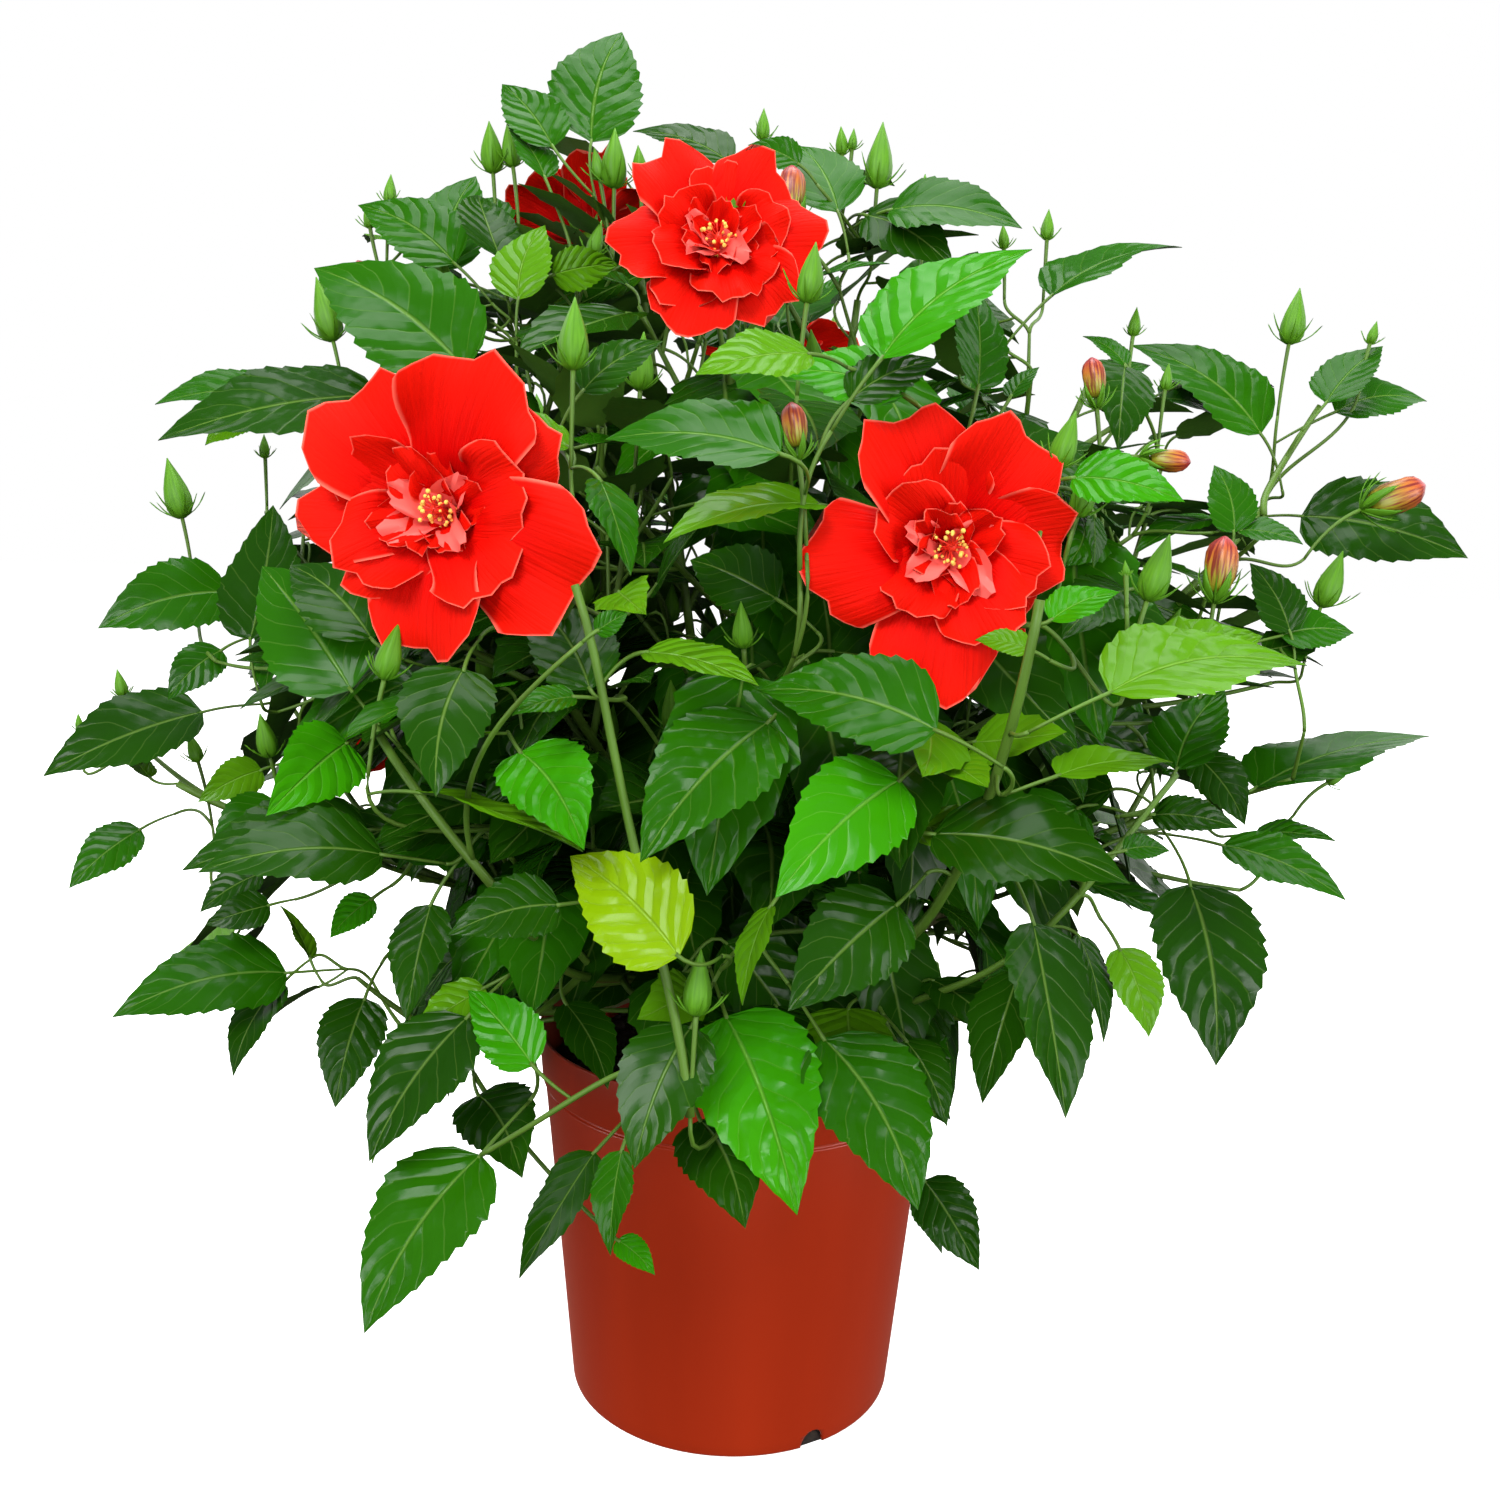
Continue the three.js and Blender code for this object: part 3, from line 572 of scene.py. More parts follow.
# Young hibiscus bark is green-brown and dull, with pale pores and fine upright cracks 2 mm apart.
bark, tree, shader = new_material("young_bark", "#6C6B3E", 0.78)
place = add_node(tree, "TexCoord")
cracks = add_node(tree, "Mapping", Vector=place.outputs["Object"], Scale=(420, 420, 90))
streaks = add_node(tree, "TexNoise", Vector=cracks, Scale=1.0, Detail=5.0)
barks = add_node(tree, "Mix", data_type="RGBA", Factor=streaks, A=linear("#4A4526"),
                 B=linear("#8C8F5A"))
relief = add_node(tree, "Bump", Strength=0.7, Distance=0.0006, Height=streaks)
give(shader, Base_Color=barks, Normal=relief)
limb_rings = rings_along(limb_rows, limb_reach, LIMB_SIDES)
woody_limbs = closed_tubes("woody_limbs", [(limb_rings,)], [bark])
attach(woody_limbs, "root")
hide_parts("trunk", *["bough_" + name for name in TIPS])
# The shoots: each mass's green stem goes on from its bough's tip, with twigs in a spiral round it
# and finer shoots on those. They are living stems, and get their skin once all that they carry is
# placed.
GROWTH_TIP = 0.82
SEED = 4171
STEM_RISE = 0.4
TIP_RADIUS = 1.8
TWIG_PLACES = (0.06, 0.25, 0.43, 0.6, 0.77)
TWIG_SPREAD = 42
TWIG_SPREAD_RANGE = 14
TWIG_TURN = 137.5
TWIG_SHARE = 0.72
TWIG_SHARE_LOSS = 0.4
TWIG_ARCH = 0.14
BOUGH_SHOOT = 75
BOUGH_SHOOT_PLACES = (0.3, 0.5, 0.68, 0.86)
WOOD = -1
FINE_PLACES = (0.4, 0.72)
FINE_SHARE = 0.5
FINE_RADIUS = 1.1
FINEST_RADIUS = 0.8
SHORTEST = 26


def random_stream(seed):
    """A repeatable stream of numbers from 0 to 1, by the mulberry rule on 32 bits."""
    whole = 0xFFFFFFFF
    state = seed & whole

    def draw():
        nonlocal state
        state = (state + 0x6D2B79F5) & whole
        t = ((state ^ (state >> 15)) * (state | 1)) & whole
        t ^= (t + (((t ^ (t >> 7)) * (t | 61)) & whole)) & whole
        return ((t ^ (t >> 14)) & whole) / 4294967296

    return draw


def turned_about(vector, axis, angle):
    """A vector turned about a unit axis: its part along the axis stays and the rest goes round."""
    along = axis * (axis @ vector)
    rest = vector - along
    return along + rest * math.cos(angle) + np.cross(axis, rest) * math.sin(angle)


def sideways(axis):
    """A level direction square to an axis."""
    side = np.cross(UP, axis)
    size = np.linalg.norm(side)
    return side / size if size > 1e-3 else np.array([1.0, 0, 0])


def twig_line(start, heading, length):
    """A twig: a quadratic curve that lifts its tip by a share of its length."""
    tip = start + heading * length + UP * TWIG_ARCH * length
    return bezier_line(start, start + heading * length / 2, tip)


def add_shoot(mass, line, first, last, rank, carrier, share):
    """Keeps a shoot: its mass, line, radii, rank, what carries it and where, and the share of it up
    to which it bears something, which is nothing yet."""
    shoot = {"mass": mass, "line": line, "radii": (first, last), "rank": rank, "carrier": carrier,
             "share": share, "used": 0.0}
    shoots.append(shoot)
    return shoot


def side_heading(axis, turn, spread):
    """The direction that leaves an axis by an angle, at a turn round it."""
    side = turned_about(sideways(axis), axis, turn)
    return mixed((axis, math.cos(spread)), (side, math.sin(spread)))


shoots = []
for index, (name, _, _, _) in enumerate(CROWN):
    draw = random_stream(SEED + index)
    tip = TIPS[name]
    bough = limb_lines[name]
    arrive = heading_at(bough, 1)
    start = bough[-1] + arrive * GAP
    end = FORK + (tip - FORK) * GROWTH_TIP
    span = np.linalg.norm(end - start)
    finish = mixed((towards(FORK, tip), 1), (UP, STEM_RISE))
    stem = bezier_line(start, start + arrive * span * START_HANDLE,
                       end - finish * span * END_HANDLE, end)
    stem_shoot = add_shoot(name, stem, SHOOT_RADIUS, TIP_RADIUS, 0, None, 0)
    phase = draw() * math.pi * 2
    inner = add_shoot(name, bough, limb_radius(name), SHOOT_RADIUS, WOOD, None, 0)
    for k, place in enumerate(BOUGH_SHOOT_PLACES):
        heading = side_heading(heading_at(bough, place), phase + k * math.radians(TWIG_TURN), 1.0)
        short = twig_line(point_at(bough, place), heading, BOUGH_SHOOT * (0.8 + 0.4 * k / 3))
        add_shoot(name, short, TIP_RADIUS, FINE_RADIUS, 1, inner, place)
    for k, place in enumerate(TWIG_PLACES):
        spread = math.radians(TWIG_SPREAD + (draw() - 0.5) * TWIG_SPREAD_RANGE)
        heading = side_heading(heading_at(stem, place), phase + k * math.radians(TWIG_TURN), spread)
        length = span * (TWIG_SHARE - TWIG_SHARE_LOSS * place) * (0.85 + 0.3 * draw())
        twig = twig_line(point_at(stem, place), heading, length)
        if twig[:, 2].min() < SOIL_Z + 30 and np.hypot(*twig[-1, :2]) < RIM_RADIUS + 10:
            continue
        twig_shoot = add_shoot(name, twig, TIP_RADIUS, FINE_RADIUS, 1, stem_shoot, place)
        for fine, where in enumerate(FINE_PLACES):
            heading = side_heading(heading_at(twig, where), phase + (k + 2.2 * fine) * 2.4, spread)
            fine_length = length * FINE_SHARE * (1 - 0.4 * where)
            if fine_length >= SHORTEST:
                fine_line = twig_line(point_at(twig, where), heading, fine_length)
                add_shoot(name, fine_line, FINE_RADIUS, FINEST_RADIUS, 2, twig_shoot, where)

# What the masses hold is placed one by one and kept apart: every leaf, bud and flower that stands
# is remembered with its box, and a later leaf that would cut it is left out or turned.
MOST_STANDING = 4000
standing_low = np.zeros((MOST_STANDING, 3))
standing_high = np.zeros((MOST_STANDING, 3))
standing_trees = []
# A map of the photograph's frame in cells of 4 pixels: how near the camera the pieces that show
# stand, so that filling leaves stay behind them, and where the photograph shows sky.
CELL = 4
CELLS = PHOTO_PIXELS // CELL
nearest = np.full((CELLS, CELLS), np.inf)
# The crown's outline as the photograph shows it, clockwise from the top, in its pixels
CROWN_OUTLINE = [
    (505, 95), (560, 120), (640, 170), (765, 150), (850, 130), (960, 190), (1010, 230), (1000, 300),
    (1040, 350), (1030, 420), (1085, 400), (1085, 345), (1200, 335), (1290, 380), (1265, 430),
    (1130, 450), (1190, 495), (1240, 470), (1290, 545), (1240, 560), (1345, 630), (1290, 690),
    (1210, 710), (1255, 780), (1240, 840), (1130, 850), (1180, 890), (1260, 930), (1262, 1000),
    (1212, 1060), (1200, 970), (1120, 900), (1100, 950), (1080, 1110), (1030, 1000), (985, 1095),
    (945, 1130), (900, 1110), (690, 1100), (610, 1010), (540, 1040), (470, 1010), (440, 1130),
    (372, 1160), (385, 1060), (440, 930), (395, 865), (280, 885), (265, 930), (340, 1000),
    (335, 1100), (285, 1000), (233, 1075), (245, 985), (118, 1015), (210, 920), (205, 860),
    (265, 815), (200, 790), (250, 730), (235, 640), (235, 560), (275, 505), (330, 440), (400, 380),
    (318, 275), (365, 190), (475, 180),
]
# Where sky shows through the crown: a pixel and the gap's radius in pixels
SKY_GAPS = [
    (375, 785, 24), (432, 882, 18), (385, 620, 12), (545, 1010, 14), (925, 935, 12), (952, 955, 20),
    (1015, 910, 14), (880, 852, 14), (1132, 790, 14), (700, 548, 12), (495, 868, 12),
    (605, 700, 10), (1065, 425, 10), (1135, 545, 12), (1000, 765, 10), (1195, 740, 12),
    (1060, 700, 10), (945, 320, 10), (868, 305, 26), (470, 330, 8), (668, 366, 18), (474, 283, 12),
    (638, 190, 10), (1098, 920, 16), (990, 925, 10), (540, 560, 9), (1075, 620, 10), (770, 620, 9),
    (880, 340, 16), (926, 345, 10), (822, 252, 9), (1130, 800, 12), (1180, 790, 9), (1125, 925, 18),
    (1113, 980, 10), (1043, 760, 9), (1275, 575, 12),
]
# The pot's own place in the picture, which may hide leaves behind it: left, right and upper edge
POT_LEFT, POT_RIGHT, POT_TOP = 545, 930, 1030
cell_middles = (np.arange(CELLS) + 0.5) * CELL
cell_u, cell_v = np.meshgrid(cell_middles, cell_middles)
inside = np.zeros((CELLS, CELLS), bool)
for (u0, v0), (u1, v1) in zip(CROWN_OUTLINE, CROWN_OUTLINE[1:] + CROWN_OUTLINE[:1]):
    if v0 != v1:
        crossing = (cell_v > min(v0, v1)) & (cell_v <= max(v0, v1))
        inside ^= crossing & (cell_u < u0 + (cell_v - v0) * (u1 - u0) / (v1 - v0))
sky = ~inside
for u, v, radius in SKY_GAPS:
    sky |= (cell_u - u) ** 2 + (cell_v - v) ** 2 < radius**2
pot_cells = (cell_u > POT_LEFT) & (cell_u < POT_RIGHT) & (cell_v > POT_TOP)

# How the best start of a shoot is found: among how many near points, how far it leans to its
# target, its curve's two handles, what turning back and hiding what shows cost, and how near a
# start has to be for no shoot to be needed
NEAR_STARTS = 500
START_LEAN = 0.8
START_REACH = 0.35
ARRIVAL_REACH = 0.4
TURN_COST = 2
HIDING_COST = 900
NEAR_ENOUGH = 14


def remember(points, faces):
    """Keeps a surface's box and search tree, so that later pieces stay clear of it."""
    flat = points.reshape(-1, 3)
    place = len(standing_trees)
    standing_low[place] = flat.min(axis=0)
    standing_high[place] = flat.max(axis=0)
    standing_trees.append(BVHTree.FromPolygons(flat.tolist(), faces))


def is_clear(points, faces):
    """Whether a surface crosses none of those that stand."""
    flat = points.reshape(-1, 3)
    count = len(standing_trees)
    apart = (flat.min(axis=0) > standing_high[:count]) | (flat.max(axis=0) < standing_low[:count])
    near = np.nonzero(~apart.any(axis=1))[0]
    if not len(near):
        return True
    tree = BVHTree.FromPolygons(flat.tolist(), faces)
    return not any(tree.overlap(standing_trees[k]) for k in near)


def grid_faces(rows, points):
    """The quads of a grid of rows and points."""
    index = np.arange(rows * points).reshape(rows, points)
    quads = np.stack([index[:-1, :-1], index[:-1, 1:], index[1:, 1:], index[1:, :-1]], axis=-1)
    return quads.reshape(-1, 4).tolist()


def photo_cells(points):
    """The cells of the photograph's map that points fall in, and their distance ahead."""
    u, v, depth = photo_pixel(points.reshape(-1, 3))
    column = np.clip(u / CELL, 0, CELLS - 1).astype(int)
    row = np.clip(v / CELL, 0, CELLS - 1).astype(int)
    return row, column, depth


def show(points):
    """Marks a surface as one that nothing may hide from the front."""
    row, column, depth = photo_cells(points)
    for down in (-1, 0, 1):
        for aside in (-1, 0, 1):
            cells = (np.clip(row + down, 0, CELLS - 1), np.clip(column + aside, 0, CELLS - 1))
            np.minimum.at(nearest, cells, depth)


def hidden_by(points):
    """The share of each row of points (rows, points, 3) that would hide what shows."""
    row, column, depth = photo_cells(points)
    hides = np.isfinite(nearest[row, column]) & (depth < nearest[row, column] - 2)
    return hides.reshape(points.shape[:-1]).mean(axis=1)


def best_start(target, arrival):
    """The best point of the shoots to grow from to a target and arrive there in a direction: near
    it, with no turn back, and on a cubic curve that hides nothing that shows. Gives the shoot, the
    share of it, the curve's handles and the share of the curve that hides something."""
    lines = np.stack([shoot["line"] for shoot in shoots])
    starts = lines[:, 2::3].reshape(-1, 3)
    ahead = (lines[:, 2::3] - lines[:, 1::3]).reshape(-1, 3)
    near = np.linalg.norm(starts - target, axis=1).argsort()[:NEAR_STARTS]
    starts, ahead = starts[near], ahead[near]
    reach = np.linalg.norm(starts - target, axis=1)[:, None]
    straight = (target - starts) / np.maximum(reach, 1e-6)
    leave = ahead / np.linalg.norm(ahead, axis=1)[:, None] + START_LEAN * straight
    leave /= np.linalg.norm(leave, axis=1)[:, None]
    first, second = starts + leave * reach * START_REACH, target - arrival * reach * ARRIVAL_REACH
    t = np.linspace(0, 0.95, 14)[:, None]
    ways = (1 - t) ** 3 * starts[:, None] + 3 * t * (1 - t) ** 2 * first[:, None]
    ways = ways + 3 * t**2 * (1 - t) * second[:, None] + t**3 * target
    turning = 2 - straight @ arrival - (straight * leave).sum(axis=1)
    hiding = hidden_by(ways)
    best = int((reach[:, 0] * (1 + TURN_COST * turning) + HIDING_COST * hiding).argmin())
    each = lines[0, 2::3].shape[0]
    share = (2 + 3 * (near[best] % each)) / (lines.shape[1] - 1)
    handles = starts[best], first[best], second[best]
    return shoots[near[best] // each], share, handles, hiding[best]


def shoot_towards(target, arrival):
    """Grows a fine shoot to a target, where it arrives in a direction, from the best shoot that is
    there, unless that is near."""
    shoot, share, handles, _ = best_start(target, arrival)
    distance = np.linalg.norm(target - handles[0])
    if distance < NEAR_ENOUGH:
        shoot["used"] = max(shoot["used"], share)
        return handles[0]
    line = bezier_line(*handles, target)
    thick = FINEST_RADIUS + distance * 0.004
    grown = add_shoot(shoot["mass"], line, thick, FINEST_RADIUS, 2, shoot, share)
    grown["used"] = 1.0
    return target

# The flowers: open double blooms, each on a stalk from its mass's stem. Five to seven wide outer
# petals lie back from the throat, ruffled ones crowd inside them, and a column of stamens stands in
# the middle.
EVEN_OUTER = [(18, 1.0), (90, 1.04), (162, 0.98), (234, 1.02), (306, 1.0)]
EVEN_MIDDLE = [(50, 0.66), (118, 0.7), (196, 0.62), (270, 0.68), (345, 0.64)]
# Each flower: its mass, throat, facing and diameter, then its outer and its middle petals, as the
# angle round the throat from the right and the reach as a share of the flower's radius
FLOWERS = [
    ("front_left", (-113, -222, 478), (-0.2, -1, 0.12), 108,
     [(-24, 1.22), (-92, 1.0), (178, 0.95), (132, 1.04), (66, 1.1), (44, 0.98), (-140, 0.82)],
     [(12, 0.72), (-42, 0.74), (160, 0.66), (214, 0.7), (100, 0.6)]),
    ("front_right", (73, -224, 470), (0.12, -1, 0.06), 104,
     [(116, 1.0), (58, 1.0), (4, 0.88), (-98, 1.08), (190, 1.06), (-46, 0.8)],
     [(98, 0.66), (150, 0.62), (-62, 0.72), (-18, 0.66), (-134, 0.6)]),
    ("top_front", (-18, -104, 594), (0.1, -1, 0.3), 92,
     [(124, 1.02), (58, 0.96), (184, 1.0), (-112, 1.02), (-50, 0.9), (4, 1.0), (232, 0.86)],
     [(150, 0.6), (204, 0.66), (-80, 0.7), (84, 0.66), (18, 0.66), (-30, 0.6)]),
    ("top_left", (-92, 30, 622), (-0.35, 0.6, 0.7), 84, EVEN_OUTER, EVEN_MIDDLE),
    ("back_top", (14, 160, 566), (0.1, 1, 0.35), 96, EVEN_OUTER, EVEN_MIDDLE),
    ("back_right_up", (166, 172, 470), (0.5, 0.85, 0.25), 100, EVEN_OUTER, EVEN_MIDDLE),
    ("back_left", (-212, 158, 348), (-0.6, 0.8, 0.15), 100, EVEN_OUTER, EVEN_MIDDLE),
]
INNER_PETALS = 6
PALE_PETALOIDS = ((150, 0.34), (205, 0.36), (-58, 0.38), (30, 0.3))
# A petal curves, so that it reaches only this share of its length from the flower's axis
OUTER_SPAN, MIDDLE_SPAN, PETALOID_SPAN = 0.81, 0.7, 0.55
SEPALS, BRACTS, STAMENS = 5, 8, 30
COLUMN_LENGTH = 12
STAMEN_ZONE = 14
COLUMN_RADIUS, STAMEN_RADIUS = 1.5, 0.25
CALYX_BACK = 0.42
THROAT_DEPTH = 0.3
FLOWER_STALK = 48
STALK_RADIUS = 1.4
STALK_PLACE = 0.8
PETAL_ACROSS = 13
PETAL_ROWS = 14
PETAL_THICKNESS, PETALOID_THICKNESS = 0.45, 0.4
PETAL_SHARP = 60
# The share of a shoot that may hide a flower
MOST_HIDING = 0.04
stalk_lines = []


def petal_rings(petals, across, rows, thickness, pointed=0.04):
    """Closed petals. Each petal's midline leaves the flower's axis at one angle and turns evenly to
    another. The half width swells all the way from a narrow claw, the broad end is round and a
    little lobed, and the margins rise with the square of the distance aside and ruffle in waves.
    A petal is (root, axis, radial, length, half width, first angle, last angle, cup, twist, ruffle,
    waves, phase). Gives rings and uv."""
    root, axis, radial = (np.array([petal[k] for petal in petals])[:, None, None] for k in range(3))
    aside = np.cross(axis, radial)
    numbers = np.array([petal[3:] for petal in petals], float).T[:, :, None, None]
    length, half, first, last, cup, twist, ruffle, waves, phase = numbers
    s = (1 - (1 - np.linspace(0, 1, rows)) ** 1.3)[None, :, None]
    over = np.sin(np.linspace(-0.5, 0.5, across) * np.pi)
    x = np.concatenate([over, over[-2:0:-1]])[None, None, :]
    under = (np.arange(2 * across - 2) >= across)[None, None, :]
    bend = last - first
    lobes = 0.035 * np.sin(5 * x + phase) + 0.025 * np.sin(12 * x + 3 * phase)
    reach = s * (1 - 0.34 * (1 - np.sqrt(1 - 0.98 * x**2)) + lobes * s**4)
    angle = first + bend * reach
    outwards = length * (np.cos(first) - np.cos(angle)) / bend
    forwards = length * (np.sin(angle) - np.sin(first)) / bend
    swell = (0.12 + 0.88 * s**0.8) * (1 - pointed * s ** (6 - 4 * pointed))
    lateral = half * swell * x
    margin = np.abs(x) ** 2.5 * np.sin(4 * waves * s + phase + 2 * np.sign(x))
    crest = s**4 * np.sin(waves * 2.1 * x + phase)
    folds = 0.16 * s * np.sin(8 * x + phase)
    rise = cup * lateral**2 / half + twist * lateral + ruffle * (0.7 * margin + 0.8 * crest + folds)
    rise = rise - under * thickness * np.sqrt(1 - x**2 * 0.98)
    upper_side = np.sin(angle)[..., None] * axis - np.cos(angle)[..., None] * radial
    rings = root + radial * outwards[..., None] + axis * forwards[..., None]
    rings = rings + aside * lateral[..., None] + upper_side * rise[..., None]
    uv = np.stack(np.broadcast_arrays(x * 0.5 + 0.5, s, rise)[:2], axis=-1)
    return rings, uv


def lumps(places, sizes, sides=5):
    """Small closed balls of four rows at places, with their radii."""
    rows = np.array([-0.85, -0.3, 0.35, 0.88])
    angle = round_way(sides)
    wide = np.sqrt(1 - rows**2)[:, None]
    ball = [wide * np.cos(angle), wide * np.sin(angle), rows[:, None] + 0 * angle]
    return places[:, None, None] + np.stack(ball, axis=-1) * np.asarray(sizes)[:, None, None, None]


def around(axis, degrees):
    """The direction square to an axis at an angle round it, counted from its level side."""
    side = sideways(axis)
    turn = math.radians(degrees)
    return side * math.cos(turn) + np.cross(axis, side) * math.sin(turn)


draw = random_stream(SEED + 500)
petals, petaloids, sepals, filaments, anthers, calyx_lines = [], [], [], [], [], []
for bearer, throat, facing, diameter, outer, middle in FLOWERS:
    throat = np.array(throat, float)
    axis = mixed((facing, 1))
    radius = diameter / 2
    root = throat - axis * THROAT_DEPTH * radius
    # A petal's numbers, in the order of petal_rings
    for k, (degrees, reach) in enumerate(outer):
        size = radius * reach / OUTER_SPAN
        petals.append((root - axis * 0.8 * (k % 2), axis, around(axis, degrees), size, 0.37 * size,
                       0.35, 1.62 + 0.36 * draw(), 0.4 * (draw() - 0.5), 0.1 + 0.12 * draw(), 4.2,
                       1.6 + draw(), 6 * draw()))
    for degrees, reach in middle:
        size = radius * reach / MIDDLE_SPAN
        petals.append((root + axis * 2, axis, around(axis, degrees), size, 0.37 * size,
                       0.3, 1.2 + 0.4 * draw(), 0.4 * (draw() - 0.4), 0.5 * (draw() - 0.5), 3.8,
                       2 + draw(), 6 * draw()))
    for k in range(INNER_PETALS):
        size = radius * (0.58 + 0.16 * draw())
        radial = around(axis, 360 * k / INNER_PETALS + 40 * draw())
        petals.append((root + axis * 4, axis, radial, size, 0.27 * size,
                       0.18, 0.8 + 0.5 * draw(), 0.6, 0.6 * (draw() - 0.5), 3.4, 3, 6 * draw()))
    for degrees, reach in PALE_PETALOIDS:
        size = radius * reach / PETALOID_SPAN
        radial = around(axis, degrees + 20 * draw())
        petaloids.append((root + axis * 6, axis, radial, size, 0.2 * size,
                          0.2, 0.9 + 0.3 * draw(), 0.6, 0.3, 2.2, 2.8, 6 * draw()))
    for k in range(SEPALS):
        radial = around(axis, 360 / SEPALS * k + 30)
        sepals.append((root - axis * 5, axis, radial, 0.52 * radius, 5.6,
                       0.55, 0.95, 0.3, 0, 0.2, 1, 0))
    for k in range(BRACTS):
        radial = around(axis, 360 / BRACTS * k)
        sepals.append((root - axis * 6, axis, radial, 0.3 * radius, 1.1, 1.3, 0.9, 0, 0, 0.1, 1, 0))
    calyx_end = throat - axis * CALYX_BACK * radius
    calyx_rows = [calyx_end - axis * 1, calyx_end + axis * 2, root - axis * 2, root + axis * 3]
    calyx_lines.append(np.stack(calyx_rows))
    column = root + axis * (THROAT_DEPTH * radius + COLUMN_LENGTH)
    filaments.append((bezier_line(root, (root + column) / 2, column, steps=5), COLUMN_RADIUS))
    for k in range(STAMENS):
        turn = TWIG_TURN * k
        foot = root + axis * (THROAT_DEPTH * radius + COLUMN_LENGTH - STAMEN_ZONE * draw())
        end = foot + mixed((around(axis, turn), 1), (axis, 0.5 + draw())) * (5 + 5 * draw())
        bent = (foot + end) / 2 + axis * 1
        filaments.append((bezier_line(foot, bent, end, steps=5), STAMEN_RADIUS))
        anthers.append((end, 0.6 + 0.5 * draw()))
    bearing = next(shoot for shoot in shoots if shoot["mass"] == bearer and shoot["rank"] == 0)
    bearing["used"] = STALK_PLACE
    stalk_foot = point_at(bearing["line"], STALK_PLACE)
    stalk = bezier_line(stalk_foot, calyx_end - axis * 0.4 * FLOWER_STALK, calyx_end + axis * 2)
    stalk_lines.append((stalk, STALK_RADIUS, STALK_RADIUS))

petal_block = petal_rings(petals, PETAL_ACROSS, PETAL_ROWS, PETAL_THICKNESS)
petaloid_block = petal_rings(petaloids, PETAL_ACROSS, PETAL_ROWS, PETALOID_THICKNESS)
for petal, rings in zip(petals, petal_block[0]):
    remember(rings[::3, [0, 3, 6, 9, 12]], grid_faces(5, 5))
    if petal[1][1] < 0:
        show((rings[:-1, :PETAL_ACROSS] + rings[1:, :PETAL_ACROSS]) / 2)
        show(rings[:, :PETAL_ACROSS])
petal_fronts = nearest.copy()
# A shoot that would hide a flower is left out, with all that it carries
kept = []
for shoot in shoots:
    dropped = shoot["carrier"] is not None and not any(shoot["carrier"] is other for other in kept)
    if shoot["rank"] < 1 or not dropped and hidden_by(shoot["line"][None, 4:])[0] < MOST_HIDING:
        kept.append(shoot)
shoots = kept

# Petals are satin and a saturated red, darker down the throat, with a pale orange-pink line painted
# along the very margin as a painted rim highlight. Fine ridges, one or two millimetres apart, fan
# out along them and darken the red where they sink: partly the petals' own fine veins, partly
# painted shade in the grooves.
petal_red, tree, shader = new_material("red_petal", "#F0160A", 0.6, IOR=1.35,
                                       Specular_IOR_Level=0.08)
where = add_node(tree, "UVMap", uv_map="surface")
split = add_node(tree, "SeparateXYZ", Vector=where)
depth = add_node(tree, "ValToRGB", Fac=split.outputs["Y"])
depth.color_ramp.elements.new(0.5)
throat_to_rim = ((0.12, "#7C0104"), (0.5, "#D80402"), (0.96, "#E41404"))
for stop, (position, colour) in zip(depth.color_ramp.elements, throat_to_rim):
    stop.position, stop.color = position, linear(colour)
fan = add_node(tree, "Mapping", Vector=where, Scale=(38, 2.2, 1))
ridges = add_node(tree, "TexNoise", Vector=fan, Scale=1.0, Detail=3.0)
# The ridges darken the red where they sink: the petal's own veins and painted shade in grooves
veins_and_groove_shade = add_node(tree, "Mix", data_type="RGBA", blend_type="MULTIPLY", Factor=0.35, A=depth,
                    B=ridges)
# A pale orange-pink line along every margin: a painted rim highlight
aside = add_node(tree, "Math", operation="PINGPONG", in0=split, in1=0.5)
short = add_node(tree, "Math", operation="SUBTRACT", in0=1.0, in1=split.outputs["Y"])
to_edge = add_node(tree, "Math", operation="MINIMUM", in0=aside, in1=short)
painted_rim_highlight = add_node(tree, "MapRange", interpolation_type="SMOOTHSTEP", Value=to_edge,
               From_Min=0.0, From_Max=0.016, To_Min=0.6, To_Max=0.0)
rim_highlighted = add_node(tree, "Mix", data_type="RGBA", Factor=painted_rim_highlight, A=veins_and_groove_shade, B=linear("#FF7A66"))
fluted = add_node(tree, "Bump", Strength=0.55, Distance=0.0012, Height=ridges)
give(shader, Base_Color=rim_highlighted, Normal=fluted)
# Petaloids are paler and pinker, the filaments a waxy red, and pollen a dull yellow dust, drawn
# coarser than it is so that it shows.
petaloid_pink, _, _ = new_material("pale_petaloid", "#F0625A", 0.5, IOR=1.4)
stamen_red, _, _ = new_material("stamen_filament", "#E0301A", 0.5)
pollen, tree, shader = new_material("pollen", "#EBC659", 0.85)
place = add_node(tree, "TexCoord")
grains = add_node(tree, "TexNoise", Vector=place.outputs["Object"], Scale=2500.0)
dusty = add_node(tree, "Bump", Strength=0.8, Distance=0.0003, Height=grains)
give(shader, Normal=dusty)

filament_rings = rings_along(np.stack([line for line, _ in filaments]),
                             np.array([[radius] * 6 for _, radius in filaments]), 5)
anther_balls = lumps(np.stack([place for place, _ in anthers]), [size for _, size in anthers])
flower_pieces = [
    closed_tubes("petals", [petal_block], [petal_red], sharp=PETAL_SHARP),
    closed_tubes("petaloids", [petaloid_block], [petaloid_pink], sharp=PETAL_SHARP),
    closed_tubes("stamens", [(filament_rings,)], [stamen_red]),
    closed_tubes("anthers", [(anther_balls,)], [pollen]),
]
for piece in flower_pieces:
    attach(piece, "root")
    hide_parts(*["foliage_" + bearer for bearer, *_ in FLOWERS])


